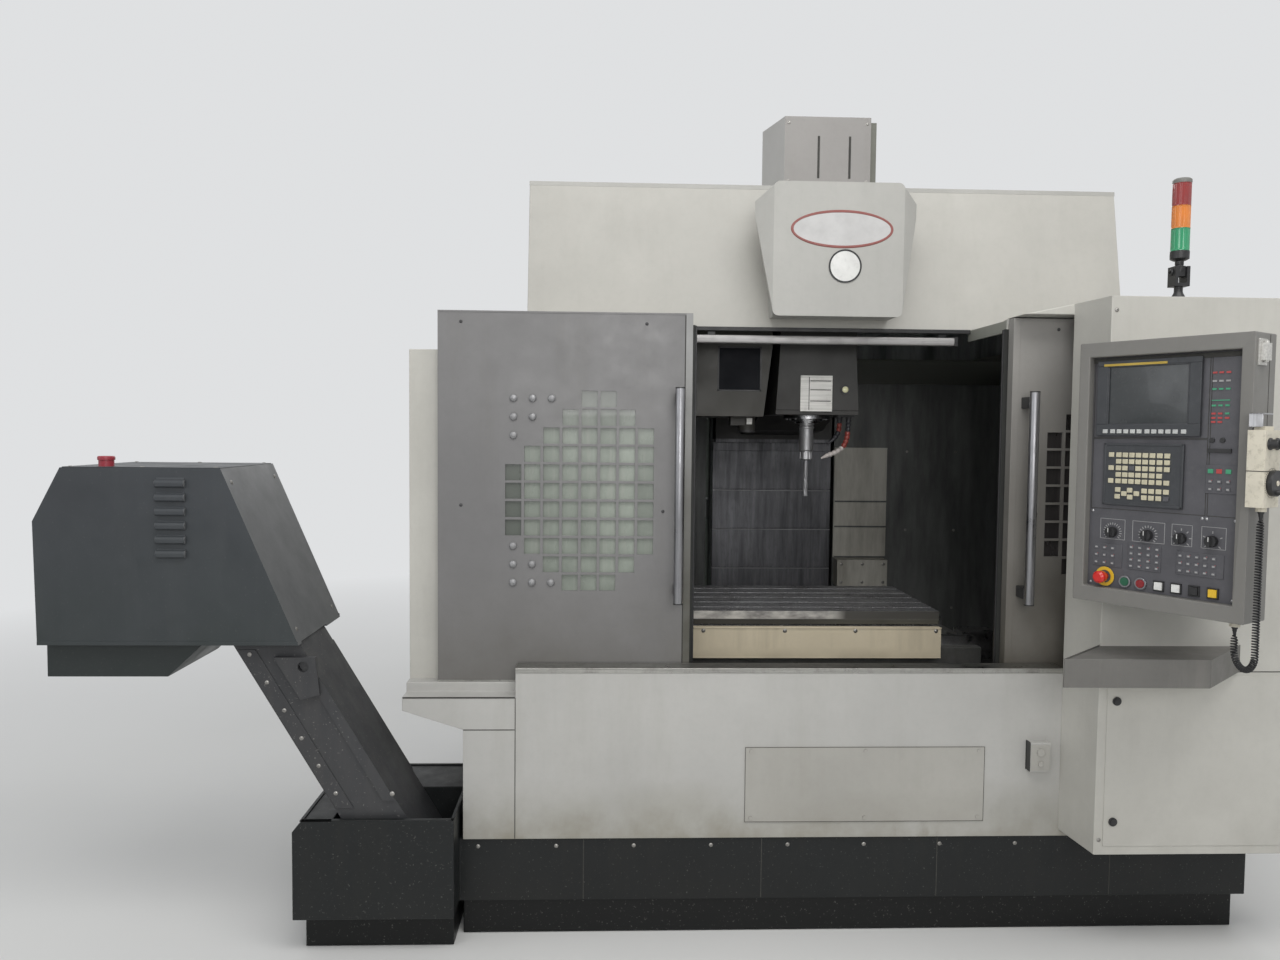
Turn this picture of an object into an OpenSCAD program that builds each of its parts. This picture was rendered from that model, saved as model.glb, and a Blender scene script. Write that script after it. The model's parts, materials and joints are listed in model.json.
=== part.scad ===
// Vertical machining center with sliding doors, operator console and chip conveyor.
// Millimetres. X runs to the right, Y to the rear, Z up from the floor.
// X = 0 is the spindle axis, Y = 0 the front face of the doors.

/* [Enclosure] */
// Half width of the upper enclosure
enc_half_w = 1499; // [1440:1:1600]
// Width of the low shoulder at each side
shoulder_w = 104; // [60:1:140]
// Height of the low shoulder
shoulder_z = 1959; // [1850:1:2000]
// Height of the roof
roof_z = 2083; // [2060:1:2085]
// Depth of the enclosure
enc_d = 1790; // [1760:1:1900]
// Thickness of the sheet walls
sheet = 5; // [3:0.5:8]
// Height of the underside of the side wings
wing_z = 762; // [720:1:800]
// Half width of the lower enclosure
low_half_w = 1299; // [1250:1:1380]
// Height of the lower edge of the skirt
skirt_z = 328; // [320:1:400]
// Half width of the loading opening
open_half = 540; // [480:1:542]
// Height of the frame under the roof edge
roof_frame_h = 42; // [20:1:60]

/* [Doors] */
// Width of one door
door_w = 850; // [800:1:855]
// Height of the doors
door_h = 1241; // [1150:1:1242]
// Thickness of the doors
door_t = 40; // [30:1:44]
// Height of the door rail
rail_z = 844; // [840:0.5:850]
// Opening stroke of one door
door_stroke = 544.5; // [500:0.5:548]
// Thickness of the pierced front sheet
door_skin = 8; // [5:0.5:12]
// Thickness of the window pane
pane_t = 6; // [4:0.5:10]
// Side of a window square
cell = 54; // [40:1:58]
// Pitch of the window squares across
cell_px = 63.5; // [60:0.5:66]
// Pitch of the window squares up
cell_pz = 62; // [60:0.5:66]
// Distance from the closing edge to the window squares
cell_edge = 127; // [115:1:135]
// Diameter of the domed rivets
rivet_d = 26; // [16:1:32]
// Diameter of the handle tube
handle_d = 32; // [22:1:40]
// Length of the handle tube
handle_l = 716; // [500:1:800]
// Distance from the door face to the handle axis
handle_off = 75; // [50:1:90]
// Distance from the closing edge to the handle axis
handle_edge = 46; // [30:1:70]

/* [Skirt] */
// Distance from the skirt face to the door face
skirt_y = 80; // [60:1:79]
// Height of the sill
sill_z = 888; // [870:1:900]
// Thickness of the sill rail
sill_t = 17; // [8:1:20]
// Left end of the sill
sill_x = 1127; // [1000:1:1200]
// Width of the access panel
access_w = 812; // [500:1:900]
// Height of the access panel
access_h = 255; // [150:1:300]

/* [Top cover] */
// Half width of the top cover
top_half_w = 1130; // [1000:1:1300]
// Height of the top cover's top
top_z = 2632; // [2630:1:2700]
// Front edge of the top cover at its foot
top_y0 = 378; // [330:1:420]
// Lean of the top cover's front
top_lean = 100; // [40:1:130]
// Half width of the front box
fbox_half_w = 237; // [180:1:260]
// Lower edge of the front box
fbox_z = 2112; // [2100:1:2150]
// Height of the front box
fbox_h = 480; // [400:1:500]
// Front face of the front box
fbox_y = 241; // [200:1:280]
// Height of the motor cover above the top cover
mcover_h = 273; // [240:1:320]
// Diameter of the lamp tube
lamp_d = 34; // [20:1:40]

/* [Bed and column] */
// Height of the levelling feet
foot_h = 180; // [160:1:200]
// Half width of the bed
bed_half_w = 420; // [380:1:460]
// Height of the bed's top
bed_z = 700; // [690:1:700]
// Half width of the column
col_half_w = 300; // [280:1:320]
// Front face of the column
col_y = 1640; // [1620:1:1660]
// Height of the column's top
col_z = 2400; // [2380:1:2405]
// Width of a guide rail
rail_w = 45; // [30:1:55]
// Height of a guide rail
rail_h = 35; // [25:1:36]
// Diameter of the ball screws
screw_d = 32; // [25:1:34]

/* [Table] */
// Length of the table
table_l = 1200; // [1100:1:1250]
// Depth of the table
table_w = 600; // [540:1:620]
// Height of the table's top
table_z = 1010; // [1005:1:1020]
// Thickness of the table plate
table_t = 50; // [45:1:55]
// Middle of the table along X
table_x = -150; // [-160:1:-140]
// Middle of the table along Y
table_y = 680; // [670:1:690]
// Number of T-slots
slots = 5; // [3:1:6]
// Pitch of the T-slots
slot_pitch = 110; // [80:1:115]
// Width of a T-slot's mouth
slot_w = 18; // [12:1:22]
// Half length of the saddle
saddle_half_l = 640; // [620:1:660]
// Depth of the saddle
saddle_w = 500; // [460:1:520]

/* [Spindle head] */
// Distance of the spindle axis from the door face
spin_y = 740; // [730:1:750]
// Half width of the head
head_half_w = 165; // [155:1:166]
// Lower face of the head casting
head_z = 1780; // [1770:1:1790]
// Diameter of the spindle cartridge
spin_d = 130; // [110:1:140]
// Diameter of the tool holder
holder_d = 63; // [50:1:70]
// Length of the tool holder below the nose
holder_l = 152; // [100:1:160]
// Diameter of the end mill
mill_d = 20; // [10:1:30]
// Length of the end mill below the holder
mill_l = 151; // [60:1:151]

/* [Operator cabinet] */
// Left edge of the cabinet at its back
cab_x = 712; // [705:1:716]
// Depth of the cabinet
cab_d = 198; // [190:1:199]
// Lower edge of the cabinet
cab_z = 352; // [340:1:420]
// Height of the cabinet's top
cab_top = 2124; // [2115:1:2140]
// Diameter of the signal tower
tower_d = 58; // [50:1:70]
// Height of one tower lens
lens_h = 72; // [50:1:80]

/* [Console] */
// Width of the console
con_w = 488; // [480:1:495]
// Height of the console
con_h = 780; // [760:1:790]
// Depth of the console
con_d = 120; // [100:1:120]
// Lower edge of the console
con_z = 1188; // [1180:1:1200]
// Turn of the console towards the operator
con_turn = 58.1; // [57:0.1:59]
// Width of the console's rim
rim = 32; // [26:1:34]
// Depth of the recess inside the rim
recess = 25; // [15:1:30]
// Diameter of the rotary knobs
knob_d = 30; // [20:1:36]
// Side of the square buttons
button_s = 22; // [16:1:26]
// Diameter of the emergency stop head
estop_d = 36; // [30:1:46]

/* [Tank and conveyor] */
// Height of the tank's underside
tank_z = 114; // [90:1:140]
// Height of the tank's left extension
tank_top = 437; // [420:1:450]
// Width of the conveyor leg
leg_w = 270; // [240:1:280]
// Thickness of the conveyor leg
leg_t = 211; // [180:1:220]
// Front face of the conveyor leg
leg_y = -165; // [-170:1:-160]
// Width of the conveyor hood
hood_w = 470; // [440:1:500]
// Sheet of the hood
hood_t = 6; // [4:0.5:8]

/* [Rear cabinet] */
// Width of the electrical cabinet
ecab_w = 900; // [700:1:950]
// Height of the electrical cabinet
ecab_h = 1500; // [1200:1:1520]
// Depth of the electrical cabinet
ecab_d = 340; // [250:1:400]

/* [Hidden] */
$fn = 48;
gap = 0.3;
cream = [0.87, 0.85, 0.77];
grey = [0.45, 0.45, 0.43];
dark = [0.2, 0.21, 0.22];
steel = [0.7, 0.7, 0.72];
iron = [0.5, 0.53, 0.5];
wall_y = 48;
back_y = wall_y + enc_d;
inner_y = wall_y + sheet;
door_z = rail_z + gap;
saddle_z0 = bed_z + 3;
saddle_z1 = 860;
screw_y_z = 748;
screw_x_z = 822;
body_z0 = 880;
rail_x = 300;
zrail_x = 220;
car_y0 = 1500;
car_y1 = col_y - 3;
zscrew_y = col_y - 50;
nose_z = head_z - 42;
con_org = [610, -332, 0];
tower_x = 1018;
tower_y = -150;
elbow_z = 2220;
cab_y = -skirt_y;
leg_slope = 1.68;
leg_x0 = -1465;
leg_top_z = 1170;
hood_y = leg_y - 35;
drum_x = -2270;
drum_z = 1350;
drum_d = 40;
mag_drum = [-600, 780, 2025];
function cover_y(z) = top_y0 + top_lean * (z - roof_z) / (top_z - roof_z);

module along_y(y0, y1) {
  translate([0, y1, 0]) rotate([90, 0, 0]) linear_extrude(y1 - y0) children();
}
module along_x(x0, x1) {
  translate([x0, 0, 0]) rotate([90, 0, 90]) linear_extrude(x1 - x0) children();
}
module box(p, s) {
  translate(p) cube(s);
}
module on_console() {
  translate(con_org) rotate([0, 0, -con_turn]) children();
}
module face_rod(x, z, y0, y1, d) {
  translate([x, y1, z]) rotate([90, 0, 0]) cylinder(d = d, h = y1 - y0);
}

// Bed, column and axes
module base_casting() color(iron) difference() {
  union() {
    box([-bed_half_w, 150, foot_h], [2 * bed_half_w, 2060, 300]);
    box([-bed_half_w, 150, foot_h], [2 * bed_half_w, 1340, bed_z - foot_h]);
    box([-bed_half_w, col_y - 10, foot_h], [2 * bed_half_w, 580, bed_z - foot_h]);
    for (s = [-1, 1]) box([s * 640 - 120, 220, foot_h], [240, 200, 120]);
    box([-640, 240, foot_h], [1280, 160, 90]);
    box([-640, 2000, foot_h], [1280, 160, 90]);
  }
  for (s = [-1, 1], i = [0:3])
    box([s * (bed_half_w - 20) - 40, 230 + i * 310, foot_h + 60], [80, 240, 360]);
}
module levelling_feet() color(dark) for (p = foot_points()) translate([p[0], p[1], 0]) {
  cylinder(d = 170, h = 30);
  translate([0, 0, 30]) cylinder(d1 = 120, d2 = 70, h = 30);
  cylinder(d = 56, h = foot_h);
}
function foot_points() = [[-560, 320], [560, 320], [-330, 900], [330, 900], [-330, 1560],
  [330, 1560], [-560, 2080], [560, 2080]];
module column() color(iron) difference() {
  along_x(-col_half_w, col_half_w)
    polygon([[col_y, bed_z], [col_y, col_z], [col_y + 300, col_z], [col_y + 540, bed_z]]);
  for (s = [-1, 1], i = [0:2])
    box([s * (col_half_w - 10) - 30, col_y + 80, bed_z + 120 + i * 520], [60, 180, 420]);
}
module y_drive() color(steel) difference() {
  union() {
    for (s = [-1, 1]) box([s * rail_x - rail_w / 2, 200, bed_z], [rail_w, 1280, rail_h]);
    translate([0, 160, screw_y_z]) rotate([-90, 0, 0]) cylinder(d = screw_d, h = 1215);
    box([-70, 1360, bed_z], [140, 40, 100]);
    box([-65, 1400, screw_y_z - 48], [130, 88, 113]);
    box([-60, 155, bed_z], [120, 30, 90]);
  }
}
module z_drive() color(steel) {
  for (s = [-1, 1])
    box([s * zrail_x - rail_w / 2, col_y - rail_h, 1180], [rail_w, rail_h, col_z - 1190]);
  translate([0, zscrew_y, 1150]) cylinder(d = screw_d, h = col_z - 1140);
  box([-60, zscrew_y - 24, 1110], [120, col_y - zscrew_y + 24, 45]);
  box([-75, zscrew_y - 60, col_z], [150, 200, 25]);
  box([-65, zscrew_y - 65, col_z + 25], [130, 130, 190]);
}
module saddle() color(iron) difference() {
  box([-saddle_half_l, table_y - saddle_w / 2, saddle_z0],
    [2 * saddle_half_l, saddle_w, saddle_z1 - saddle_z0]);
  for (s = [-1, 1])
    box([s * rail_x - rail_w / 2 - gap, 0, bed_z], [rail_w + 2 * gap, 1500, rail_h + gap]);
  translate([0, 0, screw_y_z]) rotate([-90, 0, 0]) cylinder(d = screw_d + 1, h = 1500);
  box([-saddle_half_l + 25, table_y - 60, 775], [2 * saddle_half_l - 50, 120, 200]);
  translate([saddle_half_l - 50, table_y, screw_x_z]) rotate([0, 90, 0])
    cylinder(d = screw_d + 1, h = 100);
  for (s = [-1, 1], t = [-1, 1])
    box([s * 520 - 80, table_y + t * 170 - 60, saddle_z0 - 1], [160, 120, 70]);
}
module x_drive() color(steel) {
  for (s = [-1, 1])
    box([-saddle_half_l + 10, table_y + s * 190 - rail_w / 2, saddle_z1],
      [2 * saddle_half_l - 20, rail_w, rail_h]);
  translate([-saddle_half_l + 25, table_y, screw_x_z]) rotate([0, 90, 0])
    cylinder(d = screw_d, h = 2 * saddle_half_l - 20);
  box([saddle_half_l, table_y - 55, screw_x_z - 55], [140, 110, 110]);
}
module slot_cut(y) {
  translate([y - slot_w / 2, table_z - 31]) square([slot_w, 40]);
  translate([y - slot_w * 0.85, table_z - 31]) square([slot_w * 1.7, 13]);
}
module table() color(iron) difference() {
  union() {
    along_x(table_x - table_l / 2, table_x + table_l / 2) difference() {
      translate([table_y - table_w / 2, table_z - table_t]) square([table_w, table_t]);
      for (i = [0:slots - 1]) slot_cut(table_y + (i - (slots - 1) / 2) * slot_pitch);
    }
    box([table_x - table_l / 2 + 10, table_y - 250, body_z0],
      [table_l - 20, 500, table_z - table_t - body_z0]);
    box([table_x - 50, table_y - 50, 790], [100, 100, body_z0 - 790]);
  }
  for (s = [-1, 1])
    box([table_x - table_l, table_y + s * 190 - rail_w / 2 - gap, body_z0 - 1],
      [2 * table_l, rail_w + 2 * gap, saddle_z1 + rail_h - body_z0 + 1 + gap]);
  translate([table_x - 100, table_y, screw_x_z]) rotate([0, 90, 0])
    cylinder(d = screw_d + 1, h = 200);
}
module table_apron() color(cream) {
  box([table_x - table_l / 2, table_y - table_w / 2 - 28, 835], [table_l, 28, 118]);
  for (i = [-1, 0, 1])
    box([table_x + i * 500 - 30, table_y - table_w / 2, 890], [60, table_w / 2 - 250, 50]);
}
module way_covers() color(cream) {
  for (s = [-1, 1])
    along_y(1596, 1600) polygon([[s * 325, 560], [s * (low_half_w - sheet), 560],
      [s * (low_half_w - sheet), wing_z + sheet], [s * (enc_half_w - sheet), wing_z + sheet],
      [s * (enc_half_w - sheet), 1940], [s * 325, 1940]]);
  cover_plate(1065, 1212);
  cover_plate(1220, 1340);
  cover_plate(1348, 1618);
  box([330, 1500, 925], [253, 96, 132]);
}
module cover_plate(z0, z1) {
  box([330, 1590, z0], [267, 6, z1 - z0]);
}
module magazine_cover() color(grey) difference() {
  union() {
    difference() {
      along_y(560, 1000) polygon([[-664, 1753], [-211, 1753], [-178, 2030], [-178, 2300],
        [-664, 2300]]);
      along_y(564, 996) polygon([[-660, 1757], [-215, 1757], [-182, 2030], [-182, 2296],
        [-660, 2296]]);
      box([-389, 500, 1858], [162, 100, 164]);
    }
    translate([-664, mag_drum[1], mag_drum[2]]) rotate([0, 90, 0]) cylinder(d = 40, h = 190);
    box([-420, 996, 2060], [110, 720, 110]);
    box([-420, col_y + 20, 2060], [120, 138, 110]);
    translate([-260, 670, 1693]) cylinder(d = 66, h = 62);
    box([-330, 640, 1718], [70, 60, 37]);
  }
}
module tool_carousel() color(steel) translate([mag_drum[0], mag_drum[1], mag_drum[2]])
  rotate([0, 90, 0]) difference() {
    union() {
      cylinder(d = 320, h = 30);
      cylinder(d = 110, h = 90);
      for (i = [0:11]) rotate([0, 0, i * 30]) translate([160, 0, 0]) cylinder(d = 66, h = 100);
    }
    translate([0, 0, -1]) cylinder(d = 40 + 2 * gap, h = 200);
    for (i = [0:11]) rotate([0, 0, i * 30]) translate([160, 0, 20]) cylinder(d = 42, h = 100);
  }

// Spindle head
module spindle_head() color(cream) difference() {
  union() {
    intersection() {
      along_x(-300, 300) polygon([[spin_y - 200, head_z], [spin_y - 200, 2130],
        [spin_y - 120, 2250], [spin_y + 140, 2250], [spin_y + 300, 2190], [car_y0, 2150],
        [car_y0, 1680], [spin_y + 420, 1700], [spin_y + 170, head_z]]);
      along_y(0, 2000) polygon([[-head_half_w, 1600], [head_half_w, 1600], [head_half_w, head_z],
        [head_half_w - 14, 2032], [head_half_w - 14, 2300], [14 - head_half_w, 2300],
        [14 - head_half_w, 2032], [-head_half_w, head_z]]);
    }
    box([-head_half_w, spin_y - 195, head_z - 18], [2 * head_half_w, 330, 18]);
    box([-290, car_y0, 1640], [580, car_y1 - car_y0, 545]);
    box([-296, car_y0 + 50, 914], [592, 12, 740]);
    for (i = [0:3]) apron_plate(max(914, 822 + i * 196), 1010 + i * 196);
  }
  translate([0, spin_y, 1500]) cylinder(d = spin_d, h = 900);
  for (s = [-1, 1])
    box([s * zrail_x - rail_w / 2 - gap, col_y - rail_h - gap, 1500], [rail_w + 2 * gap, 60, 1000]);
  translate([0, zscrew_y, 1500]) cylinder(d = screw_d + 1, h = 1000);
}
module apron_plate(z0, z1) {
  box([-298, car_y0 + 46, z0], [596, 6, z1 - z0]);
}
module spindle_motor() color(dark) {
  box([-85, spin_y - 85, 2250], [170, 170, 330]);
  translate([0, spin_y, 2580]) cylinder(d = 150, h = 20);
}
module spindle() color(steel) translate([0, spin_y, 0]) difference() {
  union() {
    translate([0, 0, nose_z]) cylinder(d = spin_d - 2 * gap, h = 2248 - nose_z);
    translate([0, 0, nose_z - 8]) cylinder(d = 96, h = 8);
  }
  translate([0, 0, nose_z - 9]) cylinder(d = 44 + 2 * gap, h = 120);
  for (s = [-1, 1]) box([s * 40 - 8, -8, nose_z - 9], [16, 16, 9]);
}
module tool_holder() color(steel) translate([0, spin_y, nose_z - 8]) {
  cylinder(d = 44, h = 100);
  translate([0, 0, -8]) cylinder(d = holder_d, h = 8);
  translate([0, 0, -13]) cylinder(d = holder_d - 8, h = 5);
  translate([0, 0, -21]) cylinder(d = holder_d, h = 8);
  translate([0, 0, -holder_l + 37]) cylinder(d = holder_d - 5, h = holder_l - 58);
  translate([0, 0, -holder_l]) cylinder(d = holder_d - 17, h = 37);
  translate([0, 0, -holder_l - mill_l]) cylinder(d = mill_d, h = mill_l);
}
module coolant_nozzle() color([0.75, 0.25, 0.12]) {
  for (i = [0:8])
    translate([148 - i * 11, spin_y - 120 + i * 3, head_z - 33 - i * 20]) sphere(d = 28, $fn = 24);
  translate([145, spin_y - 120, head_z - 50]) cylinder(d = 16, h = 32);
}

// Enclosure
module enc_profile(i) {
  polygon([[-enc_half_w + i, wing_z + i], [-enc_half_w + i, shoulder_z - i],
    [-enc_half_w + shoulder_w + i, shoulder_z - i], [-enc_half_w + shoulder_w + i, roof_z - i],
    [enc_half_w - shoulder_w - i, roof_z - i], [enc_half_w - shoulder_w - i, shoulder_z - i],
    [enc_half_w - i, shoulder_z - i], [enc_half_w - i, wing_z + i]]);
}
module enclosure_shell() color(cream) difference() {
  union() {
    difference() {
      union() {
        along_y(wall_y, back_y) enc_profile(0);
        box([-low_half_w, wall_y, skirt_z], [2 * low_half_w, enc_d, wing_z - skirt_z + 1]);
      }
      along_y(inner_y, back_y - sheet) enc_profile(sheet);
      box([-low_half_w + sheet, inner_y, skirt_z - 1],
        [2 * (low_half_w - sheet), enc_d - 2 * sheet, wing_z - skirt_z + 20]);
    }
    for (s = [-1, 1])
      box([s * (open_half + sheet / 2) - sheet / 2, wall_y, roof_z - roof_frame_h],
        [sheet, cover_y(roof_z) - wall_y + 20, roof_frame_h]);
    for (s = [-1, 1])
      along_y(inner_y, 1580) polygon([[s * low_half_w, wing_z - 60], [s * low_half_w, wing_z - 66],
        [s * (bed_half_w + gap), 470], [s * (bed_half_w + gap), 476]]);
  }
  box([-open_half, wall_y - 1, sill_z - 49], [2 * open_half, sheet + 2, roof_z]);
  box([-open_half, wall_y - 1, roof_z - sheet - 1], [2 * open_half, 500, sheet + 2]);
  box([-top_half_w + 30, top_y0 + 30, roof_z - sheet - 1],
    [2 * top_half_w - 60, back_y - top_y0 - 60, sheet + 2]);
  box([-col_half_w - 10, back_y - 50, 0], [2 * col_half_w + 20, 100, col_z - 300]);
  box([-bed_half_w - 10, back_y - 50, 0], [2 * bed_half_w + 20, 100, bed_z + 10]);
}
module top_profile(i) {
  polygon([[top_y0 + i, roof_z], [top_y0 + top_lean + i, top_z - i],
    [back_y - 12 - i, top_z - i], [back_y - 12 - i, roof_z]]);
}
module top_cover() color(cream) difference() {
  along_x(-top_half_w, top_half_w) top_profile(0);
  difference() {
    along_x(-top_half_w + 4, top_half_w - 4) top_profile(4);
  }
  along_x(-top_half_w + 4, top_half_w - 4) polygon([[top_y0 + 4, roof_z - 1],
    [top_y0 + 6, roof_z + 10], [back_y - 16, roof_z + 10], [back_y - 16, roof_z - 1]]);
  translate([12, 0, top_z - 10]) linear_extrude(20) motor_plan(8);
  box([-col_half_w - 10, back_y - 60, roof_z - 1], [2 * col_half_w + 20, 100, col_z - roof_z + 20]);
}
module motor_plan(i) {
  polygon([[-167 + i, 500 + i], [167 - i, 500 + i], [221 - i, 700], [150 - i, 860 - i],
    [-150 + i, 860 - i], [-221 + i, 700]]);
}
module motor_cover() color(cream) translate([12, 0, 0]) difference() {
  translate([0, 0, top_z]) linear_extrude(mcover_h) motor_plan(0);
  translate([0, 0, top_z - 1]) linear_extrude(mcover_h - 3) motor_plan(4);
  for (x = [-35, 86]) box([x - 4, 499, top_z + 40], [8, 2, 160]);
}
module front_box() color(cream) {
  along_x(-fbox_half_w + 12, fbox_half_w - 12) polygon([[fbox_y + 40, fbox_z + 4],
    [fbox_y + 40, fbox_z + fbox_h - 4],
    [cover_y(fbox_z + fbox_h - 4) - 0.05, fbox_z + fbox_h - 4],
    [cover_y(fbox_z + 4) - 0.05, fbox_z + 4]]);
  hull() {
    for (s = [-1, 1], t = [0, 1])
      face_rod(s * (fbox_half_w - 22), fbox_z + 22 + t * (fbox_h - 44), fbox_y, fbox_y + 6, 44);
    box([-fbox_half_w - 60, fbox_y + 54, fbox_z + fbox_h - 112], [2 * fbox_half_w + 120, 4, 50]);
    box([-fbox_half_w + 8, fbox_y + 54, fbox_z + 6], [2 * fbox_half_w - 16, 4, fbox_h - 12]);
  }
}
module lamp_tube() color(steel) {
  translate([-497, top_y0 + 20, roof_z - 49]) rotate([0, 90, 0]) cylinder(d = lamp_d, h = 989);
  for (x = [-440, 440]) {
    box([x - 15, top_y0, roof_z - 6], [30, 34, 6]);
    box([x - 15, top_y0 + 17, roof_z - 49], [30, 6, 44]);
  }
  translate([480, top_y0 + 20, roof_z - 49]) rotate([0, 90, 0]) cylinder(d = lamp_d + 6, h = 16);
}
module skirt_profile(i) {
  polygon([[-skirt_y + i, skirt_z - i], [-skirt_y + i, sill_z - i], [-8 - i, sill_z - i],
    [-8 - i, rail_z - 6 - i], [wall_y - i, rail_z - 6 - i], [wall_y - i, skirt_z - i]]);
}
module wing_profile(i, top) {
  polygon([[-enc_half_w + i, wing_z + i], [-enc_half_w + i, top - i], [-sill_x + i, top - i],
    [-sill_x + i, skirt_z - i], [-low_half_w + i, skirt_z - i], [-low_half_w + i, 698 + i]]);
}
module front_skirt() color(cream) {
  difference() {
    along_x(-sill_x, enc_half_w - shoulder_w) skirt_profile(0);
    along_x(-sill_x + 4, enc_half_w - shoulder_w - 4) skirt_profile(4);
  }
  difference() {
    union() {
      along_y(-skirt_y, -8) wing_profile(0, 808);
      along_y(-8, wall_y) wing_profile(0, rail_z - 6);
    }
    along_y(-skirt_y + 4, wall_y - 4) wing_profile(4, 808);
  }
  box([595, -skirt_y - 30, 560], [70, 30, 100]);
}
module access_panel() color(cream) translate([46 - access_w / 2, -skirt_y - 3, 383]) {
  cube([access_w, 3, access_h]);
  for (i = [0:2], t = [0, 1])
    face_rod(20 + i * (access_w - 40) / 2, 14 + t * (access_h - 28), -3, 0, 12);
}
module sill_rail() color(steel) {
  box([-sill_x, -skirt_y - 2, sill_z], [sill_x + cab_x, skirt_y - 6, sill_t]);
  box([-enc_half_w + shoulder_w - 2, 4, rail_z - 6], [2 * (enc_half_w - shoulder_w) + 2, 32, 6]);
}

// Doors
row_cols = [[4, 5], [3, 6], [2, 7], [1, 7], [0, 7], [0, 7], [0, 7], [0, 7], [1, 7], [2, 6], [3, 5]];
rivets = [[0, 0], [0, 1], [0, 2], [1, 0], [1, 1], [2, 0], [8, 0], [9, 0], [9, 1], [10, 0],
  [10, 1], [10, 2]];
grid_x = -cell_edge - 7 * cell_px - cell;
grid_z = 979;
module door_leaf() {
  difference() {
    box([-door_w, 0, door_z], [door_w, door_t, door_h]);
    box([grid_x - 14, door_skin, door_z + grid_z - 10 * cell_pz - cell - 14],
      [7 * cell_px + cell + 28, door_t, 10 * cell_pz + cell + 28]);
    for (r = [0:10], c = [row_cols[r][0]:row_cols[r][1]])
      box([grid_x + c * cell_px, -1, door_z + grid_z - r * cell_pz - cell], [cell, 50, cell]);
  }
  for (q = rivets)
    translate([grid_x + q[1] * cell_px + cell / 2, 0, door_z + grid_z - q[0] * cell_pz - cell / 2])
      rotate([90, 0, 0]) cylinder(d1 = rivet_d, d2 = rivet_d * 0.6, h = 7, $fn = 24);
}
module door_pane() {
  box([grid_x - 13, door_skin, door_z + grid_z - 10 * cell_pz - cell - 13],
    [7 * cell_px + cell + 26, pane_t, 10 * cell_pz + cell + 26]);
}
module door_handle() {
  translate([-handle_edge, -handle_off, 1118]) cylinder(d = handle_d, h = handle_l);
  for (z = [1118 + 18, 1118 + handle_l - 54])
    box([-handle_edge - 12, -handle_off + handle_d / 2 - 3, z], [24, handle_off - handle_d / 2 + 3, 36]);
}
module at_left() {
  translate([-door_stroke - 0.5, 0, 0]) children();
}
module at_right() {
  translate([door_stroke + 0.5, 0, 0]) mirror([1, 0, 0]) children();
}
module left_door() color(grey) at_left() door_leaf();
module left_window() color([0.62, 0.66, 0.6]) at_left() door_pane();
module left_handle() color(steel) at_left() door_handle();
module right_door() color(grey) at_right() door_leaf();
module right_window() color([0.62, 0.66, 0.6]) at_right() door_pane();
module right_handle() color(steel) at_right() door_handle();

// Coolant tank and chip conveyor
module coolant_tank() color(dark) difference() {
  union() {
    box([-1312, -70, tank_z], [2692, 210, skirt_z - gap - tank_z]);
    along_y(-190, 330) polygon([[-1826, tank_z], [-1826, tank_top - 36], [-1796, tank_top],
      [-1312, tank_top], [-1312, tank_z]]);
    box([-1300, -60, 0], [2640, 170, tank_z]);
    box([-1800, -135, 0], [480, 440, tank_z]);
  }
  box([-1700, leg_y - 1, 234], [380, leg_w + 2, 400]);
}
module conveyor_leg() color(dark) difference() {
  union() {
    along_y(leg_y, leg_y + leg_w) polygon([[leg_x0 + (tank_top - 234) / leg_slope, 234],
      [leg_x0 - leg_t + (tank_top - 234) / leg_slope, 234],
      [leg_x0 - leg_t - (leg_top_z - tank_top) / leg_slope, leg_top_z],
      [leg_x0 - (leg_top_z - tank_top) / leg_slope, leg_top_z]]);
    along_y(leg_y - 8, leg_y + leg_w + 8) polygon([[leg_x0 - 40 - 60 / leg_slope, tank_top + 60],
      [leg_x0 - 60 / leg_slope, tank_top + 60], [leg_x0 - 520 / leg_slope, tank_top + 520],
      [leg_x0 - 40 - 520 / leg_slope, tank_top + 520]]);
  }
}
module conveyor_lug() {
  translate([-1805, 0, 904]) difference() {
    along_y(leg_y - 20, leg_y) polygon([[-74, 60], [56, 60], [70, -60], [10, -76]]);
    translate([18, leg_y + 5, 30]) rotate([90, 0, 0]) cylinder(d = 34, h = 40);
  }
}
module hood_profile(i) {
  polygon([[-2600 + i, 1006 + i], [-2607 + i, 1393], [-2520 + i * 0.5, 1561 - i],
    [-2031 - i * 0.6, 1561 - i], [-1795 - i * 1.4, 1006 + i]]);
}
module conveyor_hood() color(dark) difference() {
  union() {
    difference() {
      along_y(hood_y, hood_y + hood_w) hood_profile(0);
      along_y(hood_y + hood_t, hood_y + hood_w - hood_t) hood_profile(hood_t);
    }
    along_y(hood_y + 40, hood_y + hood_w - 40) polygon([[-2592, 1010], [-2098, 1010],
      [-2218, 897], [-2592, 897]]);
    for (i = [0:5])
      along_x(-2226, -2142) translate([hood_y, 1532 - i * 44]) polygon([[0, 0], [-14, -20],
        [-14, -26], [0, -32]]);
    translate([-2408, hood_y + 60, 1560]) cylinder(d = 44, h = 34);
    for (y = [hood_y + hood_t, hood_y + hood_w - hood_t - 24])
      translate([drum_x, y, drum_z]) rotate([-90, 0, 0]) cylinder(d = 84, h = 24);
    for (y = [leg_y - 13 - gap, leg_y + leg_w + gap])
      box([-1990, y, 1000], [90, 13, 60]);
  }
  box([-2572, hood_y + 46, 890], [334, hood_w - 92, 125]);
  translate([drum_x, hood_y + hood_t, drum_z]) rotate([-90, 0, 0])
    cylinder(d = drum_d + 0.1, h = hood_w - 2 * hood_t);
  box([-2024, leg_y - gap, 1000], [240, leg_w + 2 * gap, 12.5]);
}
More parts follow.
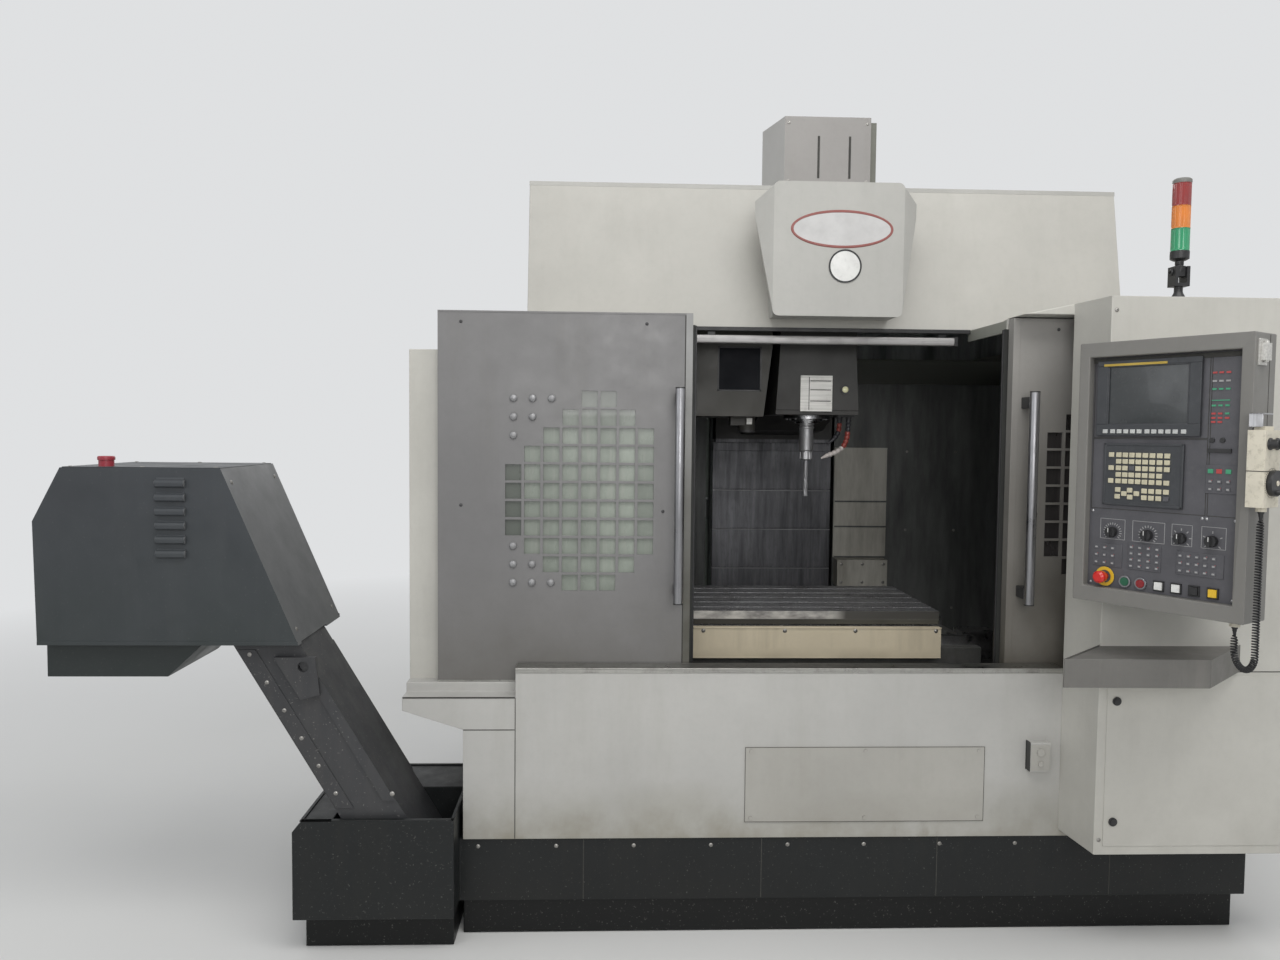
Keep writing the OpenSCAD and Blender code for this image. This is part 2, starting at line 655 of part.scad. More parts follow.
module conveyor_motor() color(grey) {
  translate([drum_x, hood_y + hood_w, drum_z]) rotate([-90, 0, 0]) cylinder(d = 130, h = 70);
  box([drum_x - 60, hood_y + hood_w + 70, drum_z - 60], [120, 90, 120]);
  translate([drum_x - 60, hood_y + hood_w + 115, drum_z]) rotate([0, -90, 0])
    cylinder(d = 100, h = 150);
}
module conveyor_drum() color(steel) translate([drum_x, 0, drum_z]) rotate([-90, 0, 0]) {
  translate([0, 0, hood_y + hood_t + gap]) cylinder(d = drum_d, h = hood_w - 2 * hood_t - 2 * gap);
  for (y = [leg_y + 10, leg_y + leg_w - 22]) translate([0, 0, y]) difference() {
    cylinder(d = 190, h = 12);
    for (k = [0:11]) rotate([0, 0, k * 30]) translate([98, 0, -1]) cylinder(d = 22, h = 14);
  }
}

// Operator cabinet and console
module operator_cabinet() color(cream) {
  translate([0, 0, cab_z]) linear_extrude(cab_top - cab_z) polygon([[cab_x, cab_y],
    [cab_x + 20, cab_y - cab_d], [enc_half_w, cab_y - cab_d], [enc_half_w, cab_y]]);
  along_y(cab_y, 70) polygon([[open_half + 6, 2089], [cab_x, cab_top], [enc_half_w, cab_top],
    [enc_half_w, 2089]]);
  box([open_half + 20, wall_y, roof_z], [780, 22, 2089 - roof_z]);
  difference() {
    translate([0, 0, con_z + 42]) linear_extrude(con_h - 90) polygon([[760, cab_y - cab_d],
      [710, -300], [930, -660], [1120, cab_y - cab_d]]);
    on_console() box([-100, -400, con_z], [con_w + 400, con_d + 400, con_h]);
  }
  translate([0, 0, 946]) linear_extrude(78) polygon([[cab_x + 20, cab_y - cab_d],
    [1183, cab_y - cab_d], [960, -475], [525, -465]]);
}
pan_s0 = rim;
pan_z0 = con_z + rim + 14;
pan_w = con_w - 2 * rim;
pan_h = con_h - 2 * rim - 26;
pan_y = recess;
module console_box() color(grey) on_console() difference() {
  box([0, 0, con_z], [con_w, con_d, con_h]);
  box([pan_s0, -1, pan_z0], [pan_w, recess + 7, pan_h]);
  box([pan_s0 + 25, 10, pan_z0 + 6], [pan_w - 50, recess + 30, 190]);
}
module console_panel() color(dark) on_console() difference() {
  union() {
    box([pan_s0 + gap, pan_y, pan_z0 + gap], [pan_w - 2 * gap, 6, pan_h - 2 * gap]);
    for (i = [0:2], j = [0:2]) box([86 + i * 18, pan_y - 2, 1322 + j * 15], [12, 2, 10]);
    for (i = [0:2], j = [0:3]) box([194 + i * 18, pan_y - 2, 1306 + j * 15], [12, 2, 10]);
    for (i = [0:4], j = [0:2]) box([334 + i * 18, pan_y - 2, 1316 + j * 16], [12, 2, 11]);
    for (i = [0:2], j = [0:4]) box([388 + i * 18, pan_y - 2, 1540 + j * 14], [12, 2, 9]);
    face_rod(88, 1266, pan_y - 3, pan_y, estop_d + 18);
    for (x = [150, 197]) face_rod(x, 1258, pan_y - 2, pan_y, 34);
  }
  for (x = knob_x) face_rod(x, 1402, 0, 60, 8 + 2 * gap);
  face_rod(88, 1266, 0, 60, 22 + 2 * gap);
  for (x = [150, 197]) face_rod(x, 1258, 0, 60, 24 + 2 * gap);
  for (x = square_x) box([x - button_s / 2 - gap, 0, 1258 - button_s / 2 - gap],
    [button_s + 2 * gap, 60, button_s + 2 * gap]);
}
knob_x = [106, 212, 306, 390];
square_x = [249, 298, 347, 397];
module display_unit() color(dark) on_console() difference() {
  union() {
    box([50, pan_y - 12, 1690], [300, 12, 222]);
    for (i = [0:11]) box([64 + i * 23, pan_y - 15, 1700], [15, 3, 11]);
  }
  box([84, pan_y - 13, 1726], [232, 4, 168]);
}
module key_unit() color([0.16, 0.2, 0.2]) on_console() {
  box([76, pan_y - 9, 1484], [240, 9, 192]);
  for (i = [0:8], j = [0:6])
    box([96 + i * 22.5, pan_y - 13, 1502 + j * 22], [17, 4, 15]);
}
module knob(i) color(dark) on_console() {
  face_rod(knob_x[i], 1402, pan_y - 18, pan_y - gap, knob_d);
  face_rod(knob_x[i], 1402, pan_y - gap - 1, pan_y + 24, 8);
  box([knob_x[i] - 4, pan_y - 26, 1402 - knob_d / 2 + 1], [8, 9, knob_d - 2]);
}
module emergency_stop() color("red") on_console() {
  face_rod(88, 1266, pan_y - 30, pan_y + 20, 22);
  face_rod(88, 1266, pan_y - 38, pan_y - 20, estop_d);
  translate([88, pan_y - 38, 1266]) rotate([90, 0, 0]) cylinder(d1 = estop_d, d2 = estop_d - 12, h = 6);
}
module round_button(x) {
  on_console() face_rod(x, 1258, pan_y - 8, pan_y + 16, 24);
}
module square_button(i) {
  on_console() box([square_x[i] - button_s / 2, pan_y - 8, 1258 - button_s / 2], [button_s, 24, button_s]);
}
module green_button() color("green") round_button(150);
module red_button() color("firebrick") round_button(197);
pend_x = con_w + 6;
module pendant() color([0.8, 0.78, 0.7]) on_console() {
  box([con_w, 0, 1560], [6, 50, 120]);
  box([pend_x, -36, 1506], [44, 84, 202]);
  box([pend_x + 8, -20, 1708], [26, 50, 10]);
  for (y = [-14, 26]) translate([pend_x + 44, y, 1672]) rotate([0, 90, 0]) cylinder(d = 24, h = 22);
  translate([pend_x + 44, 6, 1570]) rotate([0, 90, 0]) cylinder(d = 14, h = 16);
  translate([516, 5, 1494]) cylinder(d = 26, h = 12);
  translate([440, 60, con_z - 18]) cylinder(d = 26, h = 18);
}
module pendant_dial() color(dark) on_console() translate([pend_x + 44 + gap, 6, 1570])
  rotate([0, 90, 0]) difference() {
    union() {
      cylinder(d = 68, h = 14);
      translate([24, 0, 13]) cylinder(d = 12, h = 14);
    }
    translate([0, 0, -1]) cylinder(d = 14 + 2 * gap, h = 40);
  }
cord_d = 20;
cord_a = [516, 5];
cord_b = [440, 60];
cord_r = norm(cord_b - cord_a) / 2;
cord_dir = (cord_b - cord_a) / norm(cord_b - cord_a);
cord_low = 1110;
function cord_pts() = concat(
  [for (z = [1494, 1420, 1340, 1260, 1180]) [cord_a[0], cord_a[1], z]],
  [for (t = [0:15:180]) let (q = cord_a + cord_dir * cord_r * (1 - cos(t)))
    [q[0], q[1], cord_low - cord_r * sin(t)]],
  [[cord_b[0], cord_b[1], con_z - 18]]);
function ring(c, f, n) = let (u = [cord_dir[1], -cord_dir[0], 0], v = cross(f, u))
  [for (k = [0:n - 1]) c + cord_d / 2 * (cos(k * 360 / n) * u + sin(k * 360 / n) * v)];
module sweep_cord(p, n) {
  m = len(p);
  function dirn(i) = let (a = p[max(i - 1, 0)], b = p[min(i + 1, m - 1)]) (b - a) / norm(b - a);
  pts = [for (i = [0:m - 1], q = ring(p[i], dirn(i), n)) q];
  sides = [for (i = [0:m - 2], k = [0:n - 1])
    [i * n + k, i * n + (k + 1) % n, (i + 1) * n + (k + 1) % n, (i + 1) * n + k]];
  polyhedron(pts, concat([[for (k = [n - 1:-1:0]) k]], sides,
    [[for (k = [0:n - 1]) (m - 1) * n + k]]));
}
module pendant_cord() color([0.1, 0.1, 0.1]) on_console() sweep_cord(cord_pts(), 12);
module tower_elbow() color(dark) translate([tower_x, tower_y, 0]) difference() {
  union() {
    translate([0, 0, cab_top]) cylinder(d = 60, h = 8);
    translate([0, 0, cab_top]) cylinder(d = 26, h = 60);
    for (x = [-24, 14]) box([x, -22, cab_top + 56], [10, 44, elbow_z - cab_top - 38]);
    box([-24, -22, cab_top + 50], [48, 44, 10]);
  }
  translate([-50, 0, elbow_z]) rotate([0, 90, 0]) cylinder(d = 10 + 2 * gap, h = 100);
}
module signal_tower() translate([tower_x, tower_y, 0]) {
  color(dark) {
    box([-14 + gap, -16, elbow_z - 16], [28 - 2 * gap, 32, 40]);
    translate([-30, 0, elbow_z]) rotate([0, 90, 0]) cylinder(d = 10, h = 60);
    translate([0, 0, elbow_z + 24]) cylinder(d = 26, h = 14);
    translate([0, 0, elbow_z + 32]) cylinder(d = tower_d, h = 36);
  }
  color("green") translate([0, 0, elbow_z + 68]) cylinder(d = tower_d - 2, h = lens_h);
  color("orange") translate([0, 0, elbow_z + 68 + lens_h]) cylinder(d = tower_d - 2, h = lens_h);
  color("red") translate([0, 0, elbow_z + 68 + 2 * lens_h]) cylinder(d = tower_d - 2, h = lens_h);
  color(grey) translate([0, 0, elbow_z + 68 + 3 * lens_h]) cylinder(d = tower_d, h = 16);
}

// Rear electrical cabinet
ecab_x = 440;
ecab_z = 540;
module electrical_cabinet() color(cream) difference() {
  box([ecab_x, back_y, ecab_z], [ecab_w, ecab_d, ecab_h]);
  box([ecab_x + 20, back_y + 20, ecab_z + 20], [ecab_w - 40, ecab_d, ecab_h - 40]);
}
module electrical_door() color(cream) difference() {
  union() {
    box([ecab_x + 1, back_y + ecab_d + 0.5, ecab_z], [ecab_w - 2, 22, ecab_h]);
    for (z = [ecab_z + 150, ecab_z + ecab_h - 250])
      translate([ecab_x - 6, back_y + ecab_d + 12, z]) cylinder(d = 14, h = 100);
    for (z = [ecab_z + 150, ecab_z + ecab_h - 250])
      box([ecab_x - 6, back_y + ecab_d + 8, z], [20, 8, 100]);
  }
  translate([ecab_x + ecab_w - 120, back_y + ecab_d, ecab_z + ecab_h - 300]) rotate([-90, 0, 0])
    cylinder(d = 12 + 2 * gap, h = 60);
}
module main_switch() color("red") translate([ecab_x + ecab_w - 120, back_y + ecab_d + 22.5 + gap,
  ecab_z + ecab_h - 300]) rotate([-90, 0, 0]) {
  translate([0, 0, -20]) cylinder(d = 12, h = 21);
  cylinder(d = 60, h = 12);
  box([-34, -8, 12], [68, 16, 20]);
}

base_casting();
levelling_feet();
column();
y_drive();
z_drive();
saddle();
x_drive();
table();
table_apron();
way_covers();
spindle_head();
spindle_motor();
spindle();
tool_holder();
coolant_nozzle();
magazine_cover();
tool_carousel();
enclosure_shell();
top_cover();
front_box();
motor_cover();
front_skirt();
access_panel();
sill_rail();
lamp_tube();
left_door();
left_window();
left_handle();
right_door();
right_window();
right_handle();
coolant_tank();
union() {
  conveyor_leg();
  color(dark) conveyor_lug();
}
conveyor_hood();
conveyor_motor();
conveyor_drum();
operator_cabinet();
console_box();
console_panel();
display_unit();
key_unit();
knob(0);  // knob_1
knob(1);  // knob_2
knob(2);  // knob_3
knob(3);  // knob_4
emergency_stop();
green_button();
red_button();
color("white") square_button(0);  // square_button_1
color("white") square_button(1);  // square_button_2
color("black") square_button(2);  // square_button_3
color("gold") square_button(3);  // square_button_4
pendant();
pendant_dial();
pendant_cord();
tower_elbow();
signal_tower();
electrical_cabinet();
electrical_door();
main_switch();
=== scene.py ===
"""Looks of the machining center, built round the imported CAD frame.

Lengths are in millimetres until a piece is made. Inside a material they are in metres.
"""
import json
import math
import random

import bmesh
import bpy
from mathutils import Matrix, Vector


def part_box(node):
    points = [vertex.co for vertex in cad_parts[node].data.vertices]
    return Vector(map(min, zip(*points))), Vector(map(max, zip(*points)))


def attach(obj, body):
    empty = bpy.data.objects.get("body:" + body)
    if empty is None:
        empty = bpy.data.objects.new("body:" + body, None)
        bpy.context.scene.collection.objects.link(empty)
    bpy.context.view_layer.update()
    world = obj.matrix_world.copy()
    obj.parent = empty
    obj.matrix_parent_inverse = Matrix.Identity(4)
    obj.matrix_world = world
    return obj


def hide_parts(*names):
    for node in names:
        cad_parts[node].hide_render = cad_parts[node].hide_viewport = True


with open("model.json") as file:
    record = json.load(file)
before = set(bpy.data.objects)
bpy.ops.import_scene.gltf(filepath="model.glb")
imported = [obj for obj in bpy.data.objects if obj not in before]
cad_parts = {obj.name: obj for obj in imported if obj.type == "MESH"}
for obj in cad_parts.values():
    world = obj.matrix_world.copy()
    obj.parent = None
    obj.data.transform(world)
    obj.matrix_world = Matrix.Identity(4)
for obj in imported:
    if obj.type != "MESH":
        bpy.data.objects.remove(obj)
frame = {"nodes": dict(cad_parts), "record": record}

BODIES = frame["record"]["behaviour"]["bodies"]
BODY_OF = {node: body for body, nodes in BODIES.items() for node in nodes}
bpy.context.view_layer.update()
MM = 0.001
FRONT, REAR, DOWN, UP = (0, -1, 0), (0, 1, 0), (0, 0, -1), (0, 0, 1)
LEFT, RIGHT = (-1, 0, 0), (1, 0, 0)
FULL_TURN = 2 * math.pi
MATERIALS = {}


def add_object(name, data):
    obj = bpy.data.objects.new(name, data)
    bpy.context.scene.collection.objects.link(obj)
    return obj


# ---- camera
CAMERA_TURN = (2.114, 2.902, 0.554)     # yaw, pitch and roll in degrees, fitted to the photograph
CAMERA_AT = (-0.8364, -3.2, 1.688)
FOCAL_PX, PHOTO_WIDTH_PX, SENSOR = 951.8, 1280, 36


def make_camera():
    yaw, pitch, roll = map(math.radians, CAMERA_TURN)
    data = bpy.data.cameras.new("camera")
    data.sensor_width = SENSOR
    data.lens = FOCAL_PX / PHOTO_WIDTH_PX * SENSOR
    camera = add_object("camera", data)
    camera.matrix_world = (Matrix.Translation(CAMERA_AT) @ Matrix.Rotation(-yaw, 4, "Z")
                           @ Matrix.Rotation(math.pi / 2 - pitch, 4, "X")
                           @ Matrix.Rotation(roll, 4, "Z"))
    bpy.context.scene.camera = camera


# ---- shader nodes
class Nodes:
    """A node tree with short calls."""

    def __init__(self, owner):
        owner.use_nodes = True
        self.tree = owner.node_tree
        self.tree.nodes.clear()

    def put(self, socket, value):
        if isinstance(value, bpy.types.NodeSocket):
            self.tree.links.new(value, socket)
        elif isinstance(value, tuple) and len(value) == 3 and socket.type == "RGBA":
            socket.default_value = (*value, 1)
        else:
            socket.default_value = value

    def node(self, kind, *values, **settings):
        """A new node with these settings, and these values or links on its first inputs."""
        node = self.tree.nodes.new("ShaderNode" + kind)
        for key, value in settings.items():
            setattr(node, key, value)
        for socket, value in zip(node.inputs, values):
            self.put(socket, value)
        return node

    def math(self, kind, a, b):
        return self.node("Math", a, b, operation=kind).outputs[0]

    def times(self, a, b):
        return self.math("MULTIPLY", a, b)

    def most(self, a, b):
        return self.math("MAXIMUM", a, b)


class Shader(Nodes):
    """A Principled surface. Its texture space is the object's own, in metres."""

    def __init__(self, name):
        material = MATERIALS[name] = bpy.data.materials.new(name)
        super().__init__(material)
        self.bsdf = self.node("BsdfPrincipled")
        self.out = self.node("OutputMaterial", self.bsdf.outputs[0])
        self.coord = self.node("TexCoord").outputs
        self.place = self.coord["Object"]

    def noise(self, scale, stretch=(1, 1, 1), detail=5, rough=0.6, seed=0.0):
        shift = (seed, seed * 0.7, seed * 1.3)
        mapping = self.node("Mapping", self.place, shift, (0, 0, 0), stretch)
        return self.node("TexNoise", mapping.outputs[0], 0.0, scale, detail, rough).outputs[0]

    def span(self, value, a, b, lo=0.0, hi=1.0):
        """lo where value is at a, hi where it is at b."""
        return self.node("MapRange", value, a, b, lo, hi).outputs[0]

    def mix(self, factor, a, b):
        node = self.node("Mix", factor, data_type="RGBA")
        self.put(node.inputs[6], a)
        self.put(node.inputs[7], b)
        return node.outputs[2]

    def fade(self, value, a, b, *colors):
        """The first colour where value is at a, the second where it is at b."""
        return self.mix(self.span(value, a, b), *colors)

    def along(self, k, a, b, lo=0.0, hi=1.0):
        """lo where coordinate k is at a, hi where it is at b."""
        return self.span(self.node("SeparateXYZ", self.place).outputs[k], a, b, lo, hi)

    def below(self, a, b, k=2):
        return self.along(k, a, b, 1, 0)

    def inward(self, centre):
        """1 on faces that look towards centre: the inner skins of a closed housing."""
        away = self.node("VectorMath", self.place, centre, operation="SUBTRACT").outputs[0]
        dot = self.node("VectorMath", away, self.coord["Normal"], operation="DOT_PRODUCT")
        return self.math("LESS_THAN", dot.outputs["Value"], 0.0)

    def stain(self, dark, pale):
        """Old splashes on inner sheets, from pale to dark."""
        splash = self.noise(2.4, (4, 4, 0.7), detail=8, rough=0.68, seed=9)
        return splash, self.fade(splash, 0.36, 0.66, pale, dark)

    def bump(self, height, distance, strength=0.5):
        node = self.node("Bump")
        for key, value in (("Distance", distance), ("Strength", strength), ("Height", height)):
            self.put(node.inputs[key], value)
        self.put(self.bsdf.inputs["Normal"], node.outputs[0])

    def finish(self, color, rough, metallic=0.0, shine=0.5, coat=0.0):
        for key, value in (("Base Color", color), ("Roughness", rough), ("Metallic", metallic),
                           ("Specular IOR Level", shine), ("Coat Weight", coat)):
            self.put(self.bsdf.inputs[key], value)


def scaled(color, factor):
    return tuple(min(1.0, v * factor) for v in color)


# ---- kinds of surface
SOOT = (0.17, 0.155, 0.12)
CHIP = (0.30, 0.29, 0.27)


def paint(name, base, grime, grime_color=SOOT, mottle=0.10, rough=0.42, shine=0.5, foot=None,
          foot_color=None, drip=None, dust_and_side_light=None, shade_below=None, fleck=0.0, inside=None,
          inside_color=(0.024, 0.024, 0.023), inside_high=None):
    """Sprayed sheet metal: mottled colour, streaks that run down, orange peel.

    foot: dirt up from the lower edge, as (z full, z none, amount, spread).
    drip: runs at the lower edge, as (x0, x1, z full, z none, amount).
    dust: painted light, a tone for the faces that look left or right. under: painted shade, a
    darker tone below a height, as (z, tone).
    inside: centre of a housing, whose inner skins take inside_color, or inside_high at the top:
    painted shade with stains on it, less dark at the top.
    """
    s = Shader(name)
    big = s.noise(1.7, detail=4, seed=len(name))
    color = s.fade(big, 0.35, 0.7, scaled(base, 1 + mottle * 0.4), scaled(base, 1 - mottle))
    fine = s.noise(38, detail=8, rough=0.7)
    color = s.mix(s.span(fine, 0.45, 0.8, 0, mottle * 1.4), color, scaled(base, 0.62))
    streak = s.noise(1.9, (5, 5, 0.5), detail=6, rough=0.66, seed=3.1)
    mask = s.span(streak, 0.50, 0.80, 0, grime)
    if foot:
        full, none, amount, spread = foot
        patch = s.noise(3, (1.2, 1.2, 1), detail=6, seed=8)
        edge = s.times(s.below(full, none), s.span(patch, 0.3, 0.7, amount - spread, amount))
        if foot_color:
            color = s.mix(edge, color, foot_color)
        else:
            mask = s.most(mask, edge)
    if drip:
        x0, x1, full, none, amount = drip
        fade = 0.06
        zone = s.times(s.along(0, x0, x0 + fade), s.below(x1 - fade, x1, 0))
        zone = s.times(zone, s.below(full, none))
        run = s.span(s.noise(3, (5, 5, 2.5), detail=8, seed=5.5), 0.40, 0.66, 0, amount)
        mask = s.most(mask, s.times(zone, run))
    color = s.mix(mask, color, grime_color)
    # painted light: faces that look left or right take their own tone, for the light that falls on
    # their sides
    if dust_and_side_light:
        aside = s.math("ABSOLUTE", s.node("SeparateXYZ", s.coord["Normal"]).outputs[0], 0.0)
        side_light_mask = s.times(s.span(aside, 0.4, 0.8), s.span(big, 0.2, 0.6, 0.6, 1))
        color = s.mix(side_light_mask, color, dust_and_side_light)
    # painted shade: a darker tone below a height, for the shade under an overhang
    if shade_below:
        z, tone = shade_below
        color = s.mix(s.below(z, z + 0.004), color, tone)
    if fleck:
        spots = s.span(s.noise(130, detail=2, seed=2.2), 0.66, 0.72, 0, fleck)
        color = s.mix(spots, color, CHIP)
    # painted shade: the inner skins of a housing take a dark stained tone, given less dark at the
    # top where inside_high is set
    if inside:
        skin = s.stain(scaled(inside_color, 0.55), scaled(inside_color, 1.7))[1]
        if inside_high:
            skin = s.mix(s.along(2, 1.93, 1.96), skin, inside_high)
        color = s.mix(s.inward(inside), color, skin)
    gloss = s.span(s.noise(11, detail=6, seed=1.7), 0.3, 0.75, rough - 0.09, rough + 0.14)
    s.finish(color, gloss, shine=shine)
    s.bump(s.noise(520, detail=2), 0.00012, 0.55)


def steel(name, base, rough, along, stain, metal=1.0, lines=260):
    """Ground or drawn metal, with fine lines along one axis and oil stains."""
    s = Shader(name)
    stretch = tuple(3 if k == along else lines for k in range(3))
    hair = s.noise(1.0, stretch, detail=4, rough=0.7)
    color = s.fade(hair, 0.3, 0.75, scaled(base, 0.72), scaled(base, 1.18))
    spot = s.noise(9, (2, 2, 1.2), detail=8, rough=0.66, seed=4.4)
    color = s.mix(s.span(spot, 0.5, 0.78, 0, stain), color, (0.07, 0.06, 0.05))
    s.finish(color, s.span(spot, 0.35, 0.75, rough * 0.8, rough + 0.25), metal)
    s.bump(hair, 0.00008)


def plastic(name, base, rough, dust_and_side_light, dust_color=(0.22, 0.21, 0.19), coat=0.0, shine=0.5, sub=0.0):
    """Moulded plastic: fine grain, dust in the hollows and greasy patches."""
    s = Shader(name)
    blot = s.noise(14, detail=6, seed=2.0 + len(name))
    color = s.mix(s.span(blot, 0.4, 0.72, 0, 0.8), scaled(base, 1.06), scaled(base, 0.86))
    hollow = s.span(s.noise(60, detail=8, rough=0.7, seed=6), 0.52, 0.8, 0, dust_and_side_light)
    color = s.mix(hollow, color, dust_color)
    s.finish(color, s.span(blot, 0.3, 0.75, rough - 0.1, rough + 0.12), shine=shine, coat=coat)
    if sub:
        s.bsdf.inputs["Subsurface Weight"].default_value = sub
        s.bsdf.inputs["Subsurface Radius"].default_value = (0.004, 0.004, 0.004)
    s.bump(s.noise(900, detail=2), 0.00005)


def cast(name, base, rough=0.6, grime=0.4):
    """Painted or bare casting: lumpy skin, oil and dark dust."""
    s = Shader(name)
    lump = s.noise(75, detail=6, rough=0.65)
    color = s.fade(lump, 0.35, 0.7, scaled(base, 0.8), scaled(base, 1.12))
    oil = s.span(s.noise(4, (2, 2, 1), detail=8, rough=0.7, seed=7), 0.46, 0.72, 0, grime)
    color = s.mix(oil, color, (0.045, 0.04, 0.035))
    s.finish(color, s.span(lump, 0.3, 0.7, rough - 0.1, rough + 0.15))
    s.bump(lump, 0.0005, 0.6)


def pane(name, clear, hazy, runs_color):
    """Hazy safety glazing behind the square holes, with dried coolant running down."""
    s = Shader(name)
    haze = s.noise(5, (1.5, 1, 0.5), detail=7, rough=0.62)
    color = s.fade(haze, 0.35, 0.68, clear, hazy)
    runs = s.span(s.noise(10, (9, 9, 0.5), detail=8, seed=3), 0.5, 0.72, 0, 0.45)
    color = s.mix(runs, color, runs_color)
    low = s.times(s.below(1.2, 1.75), s.span(s.noise(8, detail=6, seed=5), 0.4, 0.7, 0, 0.55))
    color = s.mix(low, color, scaled(hazy, 0.55))
    # painted shade: darker over the left column of holes, then a slow change to the right, the last
    # column and the top
    left = s.along(0, -1.115, -1.110, 0.45, 0)
    shade = s.math("ADD", left, s.along(0, -1.110, -0.80, 0.47, 0.22))
    shade = s.most(shade, s.along(0, -0.735, -0.725, 0, 0.42))
    high = s.along(2, 1.56, 1.80, 0, 0.9)
    color = s.mix(s.most(shade, high), color, scaled(hazy, 0.3))
    s.finish(color, s.span(haze, 0.3, 0.7, 0.18, 0.42), coat=0.4)
    s.bump(s.noise(16, detail=3), 0.0006, 0.4)


def head_paint(base, plate):
    """Cream casting in front, given a near-black tone as painted shade, with bare stained guard
    plates behind it.
    """
    s = Shader("head_paint")
    big = s.noise(5, detail=6, seed=2)
    color = s.fade(big, 0.35, 0.7, base, scaled(base, 0.66))
    splash = s.span(s.noise(16, (2, 2, 1), detail=7, seed=4), 0.35, 0.65, 0.15, 0.75)
    color = s.mix(s.times(s.below(1.75, 1.88), splash), color, (0.035, 0.032, 0.03))
    rub = s.noise(2.2, (7, 7, 0.5), detail=9, rough=0.7, seed=6)
    metal = s.fade(rub, 0.34, 0.7, scaled(plate, 0.4), scaled(plate, 1.25))
    grit = s.span(s.noise(90, (1, 1, 0.3), detail=6, seed=1), 0.5, 0.7, 0, 0.5)
    metal = s.mix(grit, metal, scaled(plate, 0.55))
    back = s.times(s.along(1, 1.499, 1.5), s.below(1.655, 1.66))
    gloss = s.span(big, 0.3, 0.7, 0.36, 0.6)
    s.finish(s.mix(back, color, metal), gloss, s.times(back, 0.75), 0.3)
    s.bump(s.noise(300, detail=3), 0.0001)


def table_iron():
    """Ground iron top with oil film, swarf dust and scratches, wiped along its front edge."""
    s = Shader("table_iron")
    swirl = s.noise(1.0, (4, 160, 160), rough=0.7)
    color = s.fade(swirl, 0.3, 0.7, (0.15, 0.15, 0.155), (0.30, 0.30, 0.31))
    oil = s.noise(6, detail=9, rough=0.68, seed=3)
    color = s.mix(s.span(oil, 0.44, 0.68, 0, 0.8), color, (0.055, 0.05, 0.05))
    bright = s.span(s.noise(170, detail=3, seed=8), 0.56, 0.64, 0, 0.85)
    color = s.mix(bright, color, (0.52, 0.52, 0.53))
    black = s.span(s.noise(120, detail=3, seed=14), 0.60, 0.68, 0, 0.85)
    color = s.mix(black, color, (0.03, 0.03, 0.03))
    face = s.times(s.below(0.381, 0.3815, 1), s.along(2, 0.978, 0.981))
    worn = s.span(s.noise(30, (0.4, 1, 1), detail=7, seed=5), 0.38, 0.66)
    wiped = s.mix(worn, (0.56, 0.54, 0.50), (0.20, 0.19, 0.18))
    wiped = s.mix(s.along(0, 0.02, 0.09), wiped, (0.060, 0.057, 0.050))
    color = s.mix(face, color, wiped)
    low = s.times(s.below(0.39, 0.392, 1), s.below(0.978, 0.981))
    band = s.mix(s.along(0, -0.2, 0.3), (0.050, 0.047, 0.040), (0.10, 0.096, 0.078))
    gloss = s.span(oil, 0.3, 0.7, 0.3, 0.62)
    s.finish(s.mix(low, color, band), gloss, s.span(face, 0, 1, 0.6, 0.1))
    s.bump(s.noise(240, detail=4), 0.0002, 0.6)


def inner_plates():
    """Dark stained back sheets, with the pale folded plates in front of them."""
    s = Shader("inner_plates")
    splash, back = s.stain((0.070, 0.073, 0.071), (0.165, 0.170, 0.165))
    pale = s.fade(splash, 0.40, 0.72, (0.56, 0.545, 0.49), (0.29, 0.275, 0.235))
    color = s.mix(s.below(1.592, 1.594, 1), back, pale)
    s.finish(color, s.span(s.noise(11, detail=6), 0.3, 0.75, 0.36, 0.6), shine=0.3)
    s.bump(s.noise(520, detail=2), 0.0001)


